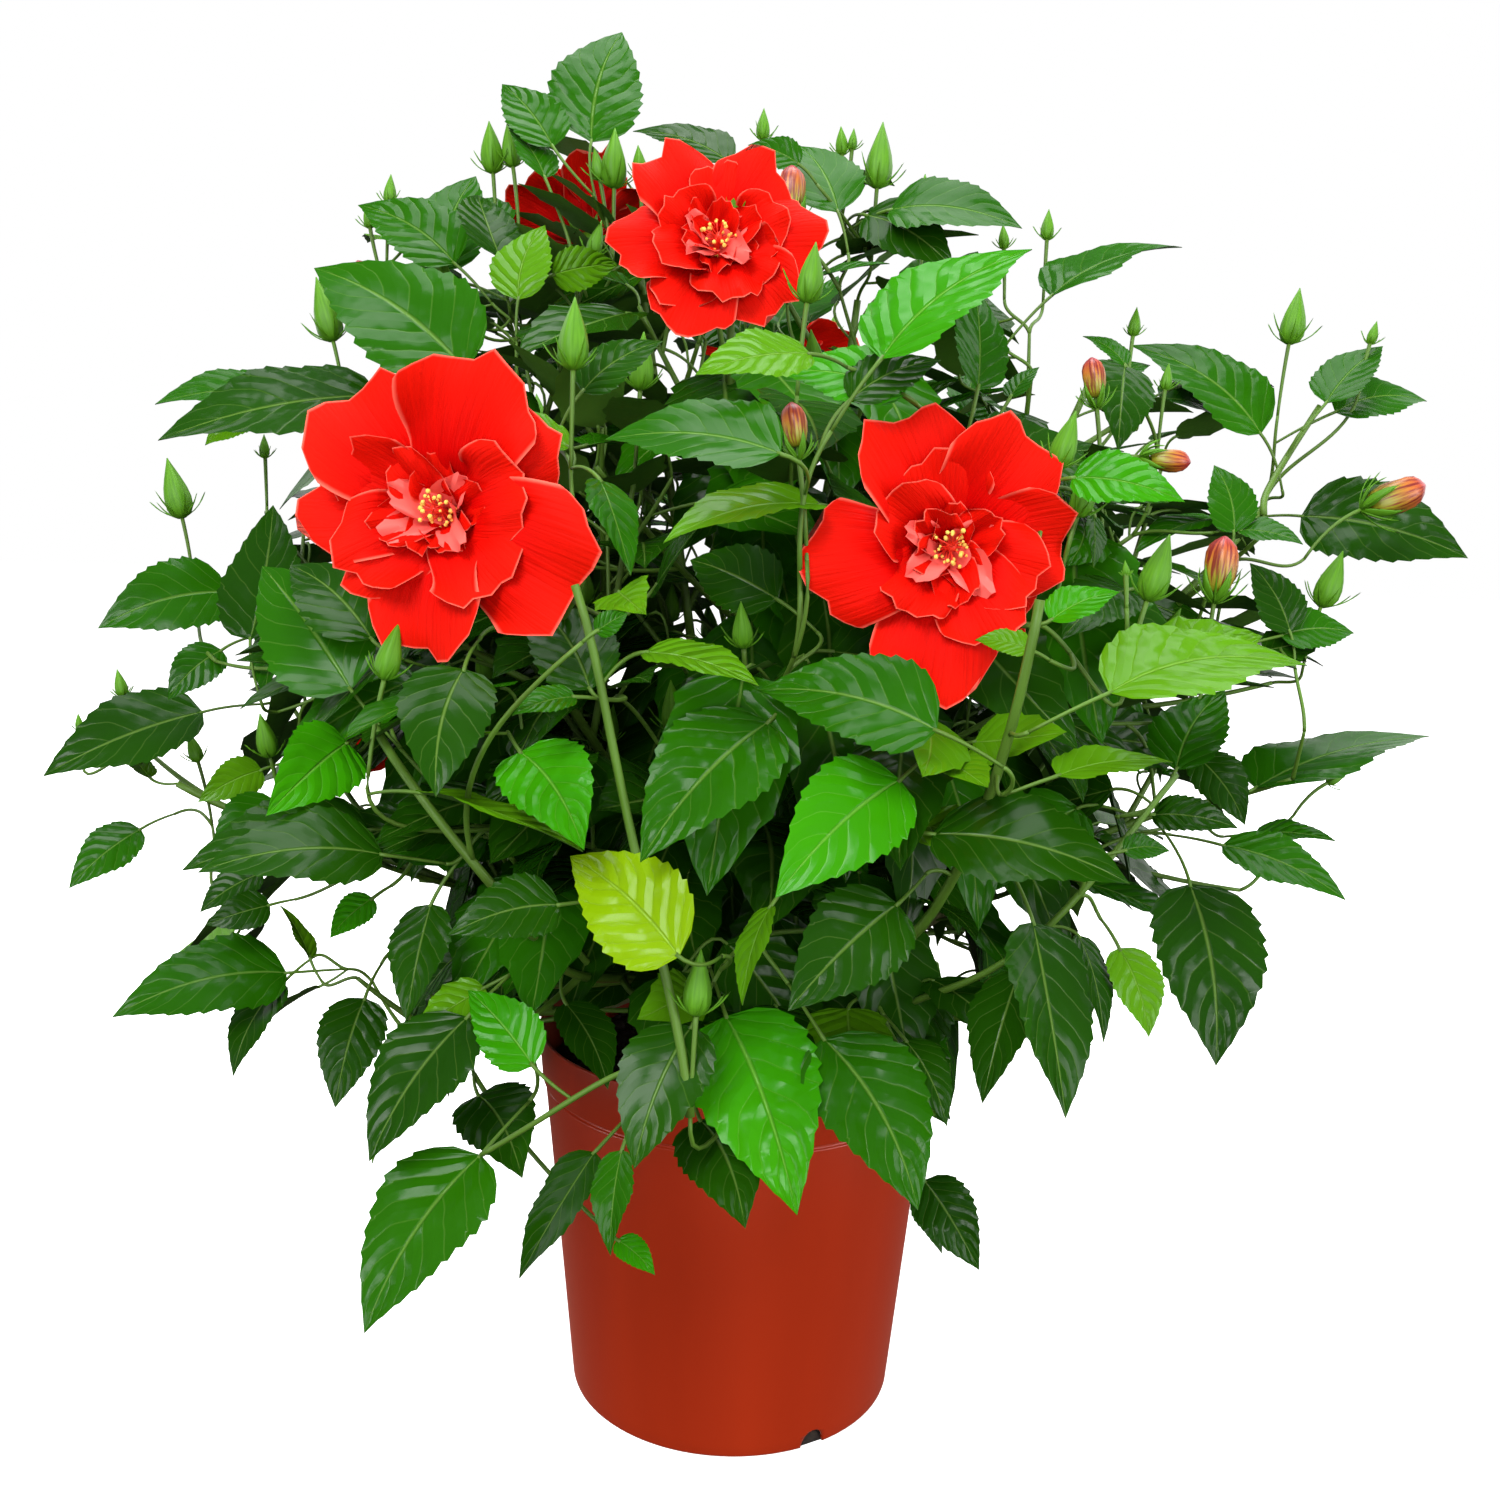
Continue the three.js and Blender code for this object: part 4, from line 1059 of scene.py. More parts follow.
# The buds: pointed green ones on long stalks at the shoots' tips, each in a ring of thin bracts,
# and a few that open and show rolled petals, yellow to red. Those that the photograph shows are
# placed by its pixels at their foot and tip, the rest stand at the tips of the upper shoots.
BUD_LENGTH = 24.0
BUD_RADIUS = 5.6
BUD_STALK = 36.0
BUD_LOWEST = 330
BUD_SHARE = 0.5
OPENING_SHARE = 0.15
BUD_SIDES = 20
BUD_STALK_RADII = (0.8, 1.1)
STALK_LIFT = 0.5
BUD_LAYERS = (1.0, 0.94, 0.88, 0.82, 0.76)
# A shown bud: the pixels of its foot and tip, and its layer of the crown where it has its own
SHOWN_BUDS = [
    (493, 173, 489, 121), (513, 167, 507, 123), (614, 188, 615, 128), (640, 179, 638, 145),
    (600, 180, 594, 147), (389, 204, 391, 174), (370, 228, 366, 203), (333, 341, 316, 277),
    (763, 140, 764, 108), (877, 188, 883, 122), (842, 155, 841, 126), (852, 150, 854, 128),
    (807, 303, 816, 242), (573, 370, 575, 297), (1047, 240, 1049, 209), (1004, 249, 1003, 224),
    (1133, 336, 1137, 307), (1289, 344, 1300, 288), (1370, 344, 1377, 321), (1165, 390, 1169, 363),
    (182, 518, 167, 458), (123, 697, 117, 669), (80, 731, 78, 713), (198, 762, 188, 731),
    (384, 680, 399, 622), (265, 458, 264, 434), (1057, 468, 1076, 411), (1077, 517, 1095, 463),
    (1147, 601, 1170, 534), (1321, 607, 1343, 551), (696, 1016, 701, 949), (1327, 783, 1348, 773),
    (1126, 576, 1125, 560),
]
SHOWN_OPENING = [
    (790, 226, 792, 167), (799, 460, 792, 408), (1097, 409, 1092, 362), (1139, 457, 1186, 462),
    (1360, 510, 1426, 485, 0.9), (1214, 604, 1225, 537),
]
CROWN_MIDDLE = np.array([10.0, -10.0, 395.0])
CROWN_HALF = np.array([375.0, 285.0, 325.0])
WIDEST_Y = -10.0


def crown_point(u, v, layer):
    """Where the ray through a pixel first meets the crown's ellipsoid, scaled by a layer, or comes
    nearest to its middle if it misses. The nearer the ray goes by the crown's side or top, the more
    the point moves on along it towards the plane where the crown is widest."""
    ray = photo_ray(u, v) / CROWN_HALF
    start = (CAMERA_PLACE - CROWN_MIDDLE) / CROWN_HALF
    a, b, c = ray @ ray, ray @ start, start @ start - layer**2
    inside_root = max(b * b - a * c, 0.0)
    point = CAMERA_PLACE + photo_ray(u, v) * (-b - math.sqrt(inside_root)) / a
    passing = start + ray * (CROWN_MIDDLE - CAMERA_PLACE)[1] / photo_ray(u, v)[1]
    edge = np.clip((math.hypot(passing[0], max(passing[2], 0)) - 0.45) / 0.35, 0, 1)
    farthest = max(WIDEST_Y - (1 - layer) * CROWN_HALF[1] - point[1], 0)
    onwards = edge * edge * (3 - 2 * edge) * farthest
    return point + photo_ray(u, v) * onwards / photo_ray(u, v)[1]


def same_depth(u, v, point):
    """The point on a pixel's ray that lies as far ahead of the camera as another point."""
    return CAMERA_PLACE + photo_ray(u, v) * ((point - CAMERA_PLACE) @ AHEAD)


bud_specs = []


def bud_stalk(size):
    """A bud's stalk is long for its size, up to a limit."""
    return min(BUD_STALK, 2 * size)


def set_bud(foot, tip, opening):
    """Stands a bud from foot to tip, on a stalk that bends down to the nearest shoot."""
    axis = towards(foot, tip)
    size = np.linalg.norm(tip - foot)
    arrival = mixed((axis, 1), (UP, STALK_LIFT))
    stem_point = shoot_towards(foot - arrival * bud_stalk(size), arrival)
    reach = np.linalg.norm(foot - stem_point)
    stalk_lines.append((bezier_line(stem_point, foot - axis * reach * 0.45, foot + axis),
                        *BUD_STALK_RADII))
    side = sideways(axis) * size * 0.24
    middle = foot + (tip - foot) * 0.4
    cross = np.stack([np.stack([foot - side * 0.4, foot, foot + side * 0.4]),
                      np.stack([middle - side, middle, middle + side]),
                      np.stack([tip - side * 0.1, tip, tip + side * 0.1])])
    remember(cross, grid_faces(3, 3))
    show(np.concatenate([cross, (cross + np.roll(cross, 1, axis=0)) / 2]))
    bud_specs.append((foot, axis, size, opening))


for u0, v0, u1, v1, *own_layer in SHOWN_BUDS + SHOWN_OPENING:
    ways = []
    for layer in own_layer or BUD_LAYERS:
        foot = crown_point(u0, v0, layer)
        tip = same_depth(u1, v1, foot)
        size = np.linalg.norm(tip - foot)
        arrival = mixed((tip - foot, 1 / size), (UP, STALK_LIFT))
        stalk = foot - arrival * np.linspace(0, bud_stalk(size), 7)[:, None]
        hiding = hidden_by(stalk[None])[0] + best_start(stalk[-1], arrival)[3]
        ways.append((hiding, len(ways), foot, tip))
        if hiding == 0:
            break
    _, _, foot, tip = min(ways, key=lambda way: way[:2])
    set_bud(foot, tip, (u0, v0, u1, v1, *own_layer) in SHOWN_OPENING)
for shoot in [shoot for shoot in shoots if shoot["rank"] in (0, 1)]:
    line = shoot["line"]
    end = line[-1]
    drawn, lean, grown = draw(), draw() - 0.5, 0.7 + 0.4 * draw()
    outward = mixed(((end[0], end[1], 0.001), 1))
    axis = mixed((UP, 1), (heading_at(line, 1), 0.5), (outward, lean))
    foot = end + axis * BUD_STALK * grown
    tip = foot + axis * BUD_LENGTH * grown
    way = np.stack([end, foot, tip])
    row, column, _ = photo_cells(way)
    unfit = sky[row, column].any() or hidden_by(way[None])[0] > 0 or tip[2] > cad_box[1][2] / MM
    if end[2] >= BUD_LOWEST and drawn <= BUD_SHARE and not unfit:
        set_bud(foot, tip, draw() < OPENING_SHARE and tip[1] > 0)

foots = np.stack([spec[0] for spec in bud_specs])
bud_axes = np.stack([spec[1] for spec in bud_specs])
bud_sizes = np.array([spec[2] for spec in bud_specs])
opening = np.array([spec[3] for spec in bud_specs])


def spindles(feet, directions, sizes, radii, shares, profile, ridge, twist):
    """Closed spindles: a profile of radii at shares of the length, with five ridges that twist."""
    sides = np.stack([sideways(axis) for axis in directions])
    overs = np.cross(directions, sides)
    angle = round_way(BUD_SIDES)[None, None, :]
    shares = np.array(shares)[None, :, None]
    radius = radii[:, None, None] * np.array(profile)[None, :, None]
    radius = radius * (1 + ridge * np.cos(5 * angle + twist * shares))
    along = (sizes[:, None, None] * shares)[..., None]
    rings = (feet[:, None, None] + directions[:, None, None] * along
             + sides[:, None, None] * (radius * np.cos(angle))[..., None]
             + overs[:, None, None] * (radius * np.sin(angle))[..., None])
    folded = np.abs(angle / np.pi - 1) + 0 * radius
    uv = np.stack([folded, shares + 0 * folded], axis=-1)
    return rings, uv


# A bud's profile: its radius as a share of its widest, at shares of its length
CLOSED_PLACES = [0, 0.06, 0.18, 0.34, 0.5, 0.66, 0.8, 0.91, 1]
CLOSED_PROFILE = [0.3, 0.72, 0.98, 1, 0.86, 0.62, 0.38, 0.18, 0.04]
ROLLED_PLACES = [0, 0.12, 0.3, 0.5, 0.68, 0.82, 0.92, 1]
ROLLED_PROFILE = [0.5, 0.78, 0.95, 1, 0.96, 0.8, 0.5, 0.12]
BUD_BRACTS, BUD_SEPALS = 7, 5
closed_radii = np.minimum(bud_sizes[~opening] * 0.21, BUD_RADIUS + 1)
closed_buds = spindles(foots[~opening], bud_axes[~opening], bud_sizes[~opening], closed_radii,
                       CLOSED_PLACES, CLOSED_PROFILE, 0.08, 0.6)
rolled_radii = np.minimum(bud_sizes[opening] * 0.235, BUD_RADIUS + 3)
rolled = spindles(foots[opening] + bud_axes[opening] * 5, bud_axes[opening],
                  bud_sizes[opening] * 0.84, rolled_radii, ROLLED_PLACES, ROLLED_PROFILE, 0.09, 3.5)
for foot, axis, size, open_bud in bud_specs:
    side = sideways(axis)
    over = np.cross(axis, side)
    for k in range(BUD_BRACTS):
        turn = 2 * math.pi * (k + draw() * 0.4) / BUD_BRACTS
        radial = side * math.cos(turn) + over * math.sin(turn)
        length = size * (0.5 + 0.2 * draw())
        sepals.append((foot, axis, radial, length, 0.045 * size, 1.25, 0.45, 0, 0, 0.1, 1, 0))
    for k in range(BUD_SEPALS if open_bud else 0):
        turn = 2 * math.pi * k / BUD_SEPALS
        radial = side * math.cos(turn) + over * math.sin(turn)
        sepals.append((foot, axis, radial, size * 0.66, 0.17 * size, 1.1, -0.12, 0.3, 0, 0.1, 1, 0))

# Calyx and bracts are bright yellow-green and softly matt, with a pale bloom and faint lines.
calyx_green, tree, shader = new_material("calyx", "#4E8818", 0.5, Specular_IOR_Level=0.2)
where = add_node(tree, "UVMap", uv_map="surface")
lines = add_node(tree, "Mapping", Vector=where, Scale=(16, 2, 1))
veined = add_node(tree, "TexNoise", Vector=lines, Scale=1.0, Detail=2.0)
greens = add_node(tree, "Mix", data_type="RGBA", Factor=veined, A=linear("#2A5A06"),
                  B=linear("#609A1C"))
give(shader, Base_Color=greens)

# Rolled petals are yellow-green at the foot and turn red-pink to the tip, with dark streaks along.
rolled_petal, tree, shader = new_material("rolled_petal", "#C8703A", 0.4)
where = add_node(tree, "UVMap", uv_map="surface")
split = add_node(tree, "SeparateXYZ", Vector=where)
blush = add_node(tree, "ValToRGB", Fac=split.outputs["Y"])
blush.color_ramp.elements.new(0.6)
foot_to_tip = ((0.25, "#8C8A1E"), (0.6, "#B0661E"), (0.95, "#9E1626"))
for stop, (position, colour) in zip(blush.color_ramp.elements, foot_to_tip):
    stop.position, stop.color = position, linear(colour)
winding = add_node(tree, "Mapping", Vector=where, Rotation=(0, 0, 0.25), Scale=(14, 1.5, 1))
stripes = add_node(tree, "TexNoise", Vector=winding, Scale=1.0, Detail=2.0)
streak = add_node(tree, "MapRange", Value=stripes, From_Min=0.45, From_Max=0.6, To_Min=0.0,
                  To_Max=0.9)
flame = add_node(tree, "Mix", data_type="RGBA", Factor=streak, A=blush, B=linear("#6E0A14"))
give(shader, Base_Color=flame)

MASSES = ["foliage_" + name for name in TIPS]
calyx_radii = np.array([[STALK_RADIUS, 3.2, 6.2, 6.8]] * len(calyx_lines))
calyx_rings = rings_along(np.stack(calyx_lines), calyx_radii, 12)
sepal_block = petal_rings(sepals, 5, 7, 0.5, 0.97)
bud_pieces = [
    closed_tubes("green_buds", [closed_buds], [calyx_green]),
    closed_tubes("opening_buds", [rolled], [rolled_petal]),
    closed_tubes("calyces_and_bracts", [sepal_block, (calyx_rings,)], [calyx_green]),
]
for piece in bud_pieces:
    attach(piece, "root")
    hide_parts(*MASSES)


# The leaves: glossy ovate blades with toothed margins, each on its own stalk, set in a spiral.
# Those that show most are placed by the photograph, at the pixels of the blade's foot and tip. The
# rest grow by one rule all round, wherever a blade has room and the photograph shows no sky.
LEAF_LENGTH = 88.0
LEAF_WIDTH = 0.64
LEAF_PITCH = 20
INNER_PITCH = 13
LEAF_TURN = 144
PETIOLE_SHARE = 0.36
PETIOLE_ANGLE = 52
YOUNG_SHARE = 0.55
YOUNG_STRETCH = 45
YOUNG_LIFT = 55
DROOP_RANGE = 30
DROOP_LOW, DROOP_LOW_Z = 72, 225
DROOP_TOP, DROOP_TOP_Z = 24, 600
CROWN_CENTRE = np.array([0.0, 0.0, 400.0])
REACH_SPARE = 8
LEAF_SHARP = 50
LEAF_STALK_RADII = (0.65, 0.85)
LEAF_STALK_OUT, LEAF_STALK_LIFT = 0.3, 0.15
LEVEL_OUT = 0.75
LIGHT_UP, LIGHT_OUT = 0.8, 0.75
ROLL_RANGE = 0.8
BEND_RANGE = 0.1
FOLD, FOLD_RANGE = 0.14, 0.2
SHOWN_ARCH, SHOWN_ARCH_RANGE = 0.14, 0.22
GROWN_ARCH, GROWN_ARCH_RANGE = 0.08, 0.24
# How far a shown leaf's tip may lean to the camera if it hangs, or away from it if it rises
MOST_FORWARD, MOST_BACK = 45, 30
SHOWN_STEM_TAPER = 0.85
ENOUGH_CLEAR = 0.1
# Young and bright leaves stand only in the outer layers of the crown, bright ones above a height.
# The bright tone is painted light, where light falls on the crown's upper outside, and the dark
# tone that leaves further in or lower down get is painted shade.
YOUNG_TONE, YOUNG_LAYER = 0.5, 0.8
PAINTED_LIGHT_LAYER, PAINTED_LIGHT_Z = 0.82, 330
LIGHTER_SHARE = 0.3
# How a shown leaf's layer is shifted, in turn, where it has no room, and how strongly its stalk
# turns into the crown, in turn, where it would hide something
SHOWN_SHIFTS = (0, 0.025, -0.03, 0.05, -0.06, -0.1, -0.15, -0.2, -0.26)
STALK_DEPTHS = (0.25, 0.8, 1.6, 5)
# A shown leaf: the pixels of its foot and tip, its layer of the crown from 0 in the middle to 1 at
# its surface, how wide it looks for its length, and its tone: dark, which is painted shade, mid,
# bright, which is painted light, young or lime
SHOWN_LEAVES = [
    (591, 142, 622, 32, 1.0, 0.85, "m"), (553, 147, 502, 84, 0.95, 0.7, "m"),
    (545, 178, 507, 124, 0.9, 0.45, "m"), (730, 163, 633, 131, 0.85, 0.32, "d"),
    (800, 165, 748, 145, 0.9, 0.6, "m"), (838, 212, 800, 146, 1.0, 0.9, "m"),
    (455, 264, 358, 205, 0.93, 0.6, "m"), (443, 271, 476, 176, 1.0, 0.8, "m"),
    (500, 258, 478, 195, 0.85, 0.9, "d"), (466, 371, 314, 268, 0.9, 0.66, "m"),
    (382, 396, 158, 440, 0.9, 0.3, "d"), (300, 395, 155, 404, 0.9, 0.25, "m"),
    (252, 420, 205, 445, 0.85, 0.5, "y"), (230, 592, 98, 628, 1.0, 0.55, "m"),
    (250, 640, 273, 505, 0.85, 0.55, "d"), (351, 690, 262, 566, 1.0, 0.8, "m"),
    (372, 640, 290, 565, 0.85, 0.8, "d"), (351, 655, 296, 605, 1.05, 0.35, "y"),
    (347, 743, 266, 816, 1.05, 0.9, "b"), (203, 712, 43, 776, 1.0, 0.42, "d"),
    (222, 650, 168, 700, 0.9, 0.6, "m"), (141, 829, 69, 888, 1.0, 0.5, "m"),
    (150, 778, 114, 745, 0.9, 0.4, "y"), (383, 855, 198, 872, 1.0, 0.42, "d"),
    (370, 830, 182, 870, 0.85, 0.4, "d"), (262, 770, 198, 802, 0.9, 0.7, "y"),
    (287, 973, 112, 1017, 1.0, 0.45, "m"), (270, 905, 205, 925, 0.85, 0.6, "d"),
    (283, 983, 233, 1076, 0.85, 0.4, "d"), (365, 998, 335, 1108, 0.95, 0.65, "d"),
    (431, 904, 406, 1021, 0.85, 0.5, "d"), (373, 898, 330, 938, 0.95, 0.6, "b"),
    (310, 958, 280, 905, 1.0, 0.25, "y"), (468, 1017, 369, 1161, 0.95, 0.5, "d"),
    (481, 1155, 364, 1333, 1.1, 0.5, "m"), (478, 1095, 522, 1178, 0.9, 0.95, "d"),
    (595, 1152, 519, 1278, 1.0, 0.34, "d"), (622, 1150, 610, 1255, 1.05, 0.4, "m"),
    (617, 1240, 655, 1275, 1.05, 0.6, "b"), (565, 1003, 608, 1089, 0.8, 0.55, "d"),
    (692, 1026, 634, 1169, 1.0, 0.6, "d"), (700, 1120, 745, 1228, 0.98, 0.9, "d"),
    (726, 1016, 797, 1215, 1.08, 0.84, "b"), (823, 1038, 918, 1210, 1.08, 0.58, "m"),
    (924, 1180, 979, 1270, 0.9, 0.6, "d"), (915, 1190, 942, 1253, 0.85, 0.4, "d"),
    (905, 1040, 947, 1126, 0.85, 0.5, "d"), (1020, 970, 982, 1103, 0.9, 0.5, "d"),
    (1033, 922, 1066, 1118, 1.0, 0.4, "d"), (1078, 935, 1104, 1042, 0.88, 0.28, "d"),
    (1119, 948, 1149, 1037, 0.95, 0.55, "y"), (1190, 884, 1216, 1066, 1.0, 0.6, "d"),
    (1222, 845, 1346, 900, 1.0, 0.35, "m"), (1255, 788, 1429, 736, 1.12, 0.28, "m"),
    (1255, 834, 1336, 841, 0.95, 0.25, "m"), (1196, 756, 1245, 825, 0.85, 0.6, "d"),
    (1176, 770, 1225, 690, 0.85, 0.8, "m"), (1057, 776, 1173, 762, 0.95, 0.28, "y"),
    (1152, 815, 1238, 828, 0.9, 0.45, "d"), (1123, 851, 1170, 851, 0.95, 0.6, "m"),
    (1109, 693, 1307, 665, 1.05, 0.4, "y"), (1280, 636, 1354, 633, 0.95, 0.6, "m"),
    (1290, 632, 1250, 563, 0.85, 0.6, "d"), (1301, 516, 1468, 558, 1.16, 0.5, "d"),
    (1234, 533, 1214, 465, 0.95, 0.7, "m"), (1239, 530, 1303, 544, 0.9, 0.35, "m"),
    (1216, 518, 1136, 553, 0.9, 0.3, "m"), (1261, 434, 1130, 345, 1.0, 0.4, "m"),
    (1335, 412, 1427, 401, 1.0, 0.5, "m"), (1326, 403, 1383, 346, 0.95, 0.6, "m"),
    (1125, 366, 1118, 450, 0.95, 0.8, "d"), (1126, 366, 1083, 336, 0.95, 0.35, "m"),
    (1072, 478, 1185, 502, 1.02, 0.48, "b"), (1051, 296, 1182, 247, 1.0, 0.22, "m"),
    (890, 210, 1022, 228, 0.95, 0.4, "m"), (866, 215, 955, 270, 1.0, 0.6, "d"),
    (881, 359, 1032, 249, 1.03, 0.42, "b"), (978, 388, 974, 286, 0.95, 0.55, "m"),
    (1010, 398, 1039, 367, 0.95, 0.5, "m"), (781, 454, 604, 440, 1.0, 0.4, "m"),
    (822, 505, 663, 543, 0.95, 0.25, "y"), (778, 600, 690, 560, 0.75, 0.8, "d"),
    (645, 652, 759, 686, 1.0, 0.3, "y"), (937, 731, 758, 690, 1.03, 0.55, "m"),
    (769, 722, 640, 862, 1.03, 0.6, "m"), (900, 780, 775, 898, 1.05, 0.68, "b"),
    (932, 834, 1130, 884, 1.0, 0.45, "d"), (898, 904, 788, 1011, 0.9, 0.7, "d"),
    (771, 906, 742, 1005, 1.0, 0.3, "y"), (679, 957, 570, 856, 1.06, 0.78, "l"),
    (560, 905, 448, 935, 0.95, 0.6, "d"), (520, 752, 584, 850, 1.0, 0.8, "b"),
    (423, 793, 583, 851, 1.02, 0.12, "y"), (464, 669, 436, 797, 0.95, 0.75, "d"),
    (533, 1066, 468, 990, 1.0, 0.7, "b"), (590, 690, 530, 600, 0.8, 0.8, "d"),
    (600, 480, 631, 575, 0.9, 0.45, "m"), (595, 632, 628, 613, 1.0, 0.7, "m"),
    (576, 697, 512, 715, 0.95, 0.45, "m"), (518, 300, 545, 225, 1.02, 0.75, "y"),
    (552, 275, 618, 264, 1.03, 0.7, "y"), (582, 392, 663, 341, 0.85, 0.5, "d"),
    (811, 354, 695, 375, 0.98, 0.42, "y"), (905, 395, 775, 372, 1.0, 0.45, "b"),
    (850, 400, 941, 360, 0.9, 0.5, "d"), (1050, 621, 1120, 592, 1.05, 0.5, "b"),
    (1094, 515, 1094, 567, 0.9, 0.4, "d"), (275, 800, 212, 862, 0.85, 0.6, "m"),
    (262, 873, 200, 912, 0.9, 0.5, "d"), (1128, 590, 1061, 640, 0.8, 0.8, "d"),
    (1030, 650, 975, 640, 0.9, 0.5, "y"),
]
# Stems that show, from their inner end outwards: pixels, each with its layer, and the stem's radius
SHOWN_STEMS = [
    ([(610, 730, 0.93), (602, 665, 0.95), (575, 585, 0.95)], 1.8),
    ([(925, 935, 0.78), (965, 880, 0.82), (1000, 790, 0.9), (1022, 700, 0.96),
      (1040, 600, 0.97)], 2.2),
    ([(482, 874, 0.92), (415, 800, 0.97), (376, 729, 0.98)], 2.0),
    ([(1264, 494, 0.96), (1290, 450, 0.98), (1320, 406, 0.98)], 1.8),
    ([(1060, 925, 0.88), (1125, 838, 0.96), (1176, 776, 0.96)], 1.5),
    ([(600, 1080, 1.0), (551, 1115, 1.05), (481, 1155, 1.05)], 1.2),
]
ROOM_SHARES = np.array([0.0, 0.25, 0.5, 0.78, 1.0])
ROOM_ACROSS = np.array([-1.0, -0.5, 0.0, 0.5, 1.0])
DENSE_SHARES = np.linspace(0.02, 0.98, 26)
DENSE_ACROSS = np.linspace(-1, 1, 15)
LEAF_THICKNESS = 0.4


def leaf_outline(s):
    """A leaf's half width over its largest: a power of the share from the foot times a power of the
    share from the tip, so round at the foot, widest at a third, with a long pointed tip."""
    widest = 0.35**0.55 * 0.65**1.05
    return s**0.55 * np.maximum(1 - s, 0) ** 1.05 / widest


def blades(leaves, s, x, teeth=1.0, under=0.0):
    """Points of leaf blades at shares s of the length and x of the half width. The midrib arches
    down with the square of s and bends aside in its middle, the halves fold up from it and bow, and
    the margins wave."""
    base, blade, face = (np.array([leaf[key] for leaf in leaves])[:, None, None]
                         for key in ("base", "blade", "face"))
    numbers = np.array([leaf["form"] for leaf in leaves], float).T[:, :, None, None]
    length, width, fold, arch, bend, phase = numbers
    s, x = s[None, :, None], np.asarray(x)[None, None, :]
    aside = length * width / 2 * leaf_outline(s) * teeth * x
    bow = 0.55 * fold * aside**2 / (length * width / 2)
    wave = 0.022 * length * (x * leaf_outline(s)) ** 2 * np.sin(11 * s + phase + 1.3 * np.sign(x))
    rise = fold * np.abs(aside) - bow + wave - arch * length * s**2 - under
    across = np.cross(blade, face)
    aside = aside + 4 * bend * length * s * (1 - s)
    points = base + blade * (length * s)[..., None]
    return points + across * aside[..., None] + face * rise[..., None]


def leaf_room(leaf):
    """A leaf's blade as a coarse grid, which stands for it where leaves are kept apart."""
    return blades([leaf], ROOM_SHARES, ROOM_ACROSS)[0]


ROOM_FACES = grid_faces(len(ROOM_SHARES), len(ROOM_ACROSS))
leaves = {tone: [] for tone in "dmbyl"}


def stand_leaf(leaf, tone, root, shown):
    """Keeps a leaf, its room and its stalk, which runs from root to the blade's foot."""
    remember(leaf_room(leaf), ROOM_FACES)
    if shown:
        show(blades([leaf], DENSE_SHARES, DENSE_ACROSS))
    leaves[tone].append({**leaf, "shown": shown})
    reach = np.linalg.norm(leaf["base"] - root)
    foot = leaf["base"] + leaf["blade"] * 1.5
    stalk = bezier_line(root, leaf["base"] - leaf["blade"] * reach * 0.4, foot)
    stalk_lines.append((stalk, *LEAF_STALK_RADII))


def stalk_root(leaf, reach):
    """Where a shown leaf's stalk starts, and how much of it hides what shows: behind the blade's
    foot along the blade, or more and more into the crown where that would hide something."""
    inward = towards(leaf["base"], CROWN_CENTRE)
    ways = [mixed((leaf["blade"], -1), (inward, deeper), (UP, -0.15)) for deeper in STALK_DEPTHS]
    roots = leaf["base"] + np.stack(ways) * min(30, 0.4 * reach)
    lines = leaf["base"] + (roots - leaf["base"])[:, None] * np.linspace(0.15, 1, 6)[:, None]
    hiding = hidden_by(lines)
    best = int((hiding + 0.01 * np.arange(len(ways))).argmin())
    return roots[best], hiding[best]


for stem_pixels, radius in SHOWN_STEMS:
    through = [crown_point(*pixel) for pixel in stem_pixels]
    shoot, share, handles, _ = best_start(through[0], towards(through[0], through[1]))
    line = bezier_line(*handles, *through)
    radii = radius, SHOWN_STEM_TAPER * radius
    add_shoot(shoot["mass"], line, *radii, 1, shoot, share)["used"] = 1.0

draw = random_stream(SEED + 700)
box_low, box_high = (np.array(corner) / MM for corner in cad_box)


def in_box(points):
    """Whether points lie in the CAD's box."""
    return not (points < box_low).any() and not (points > box_high).any()


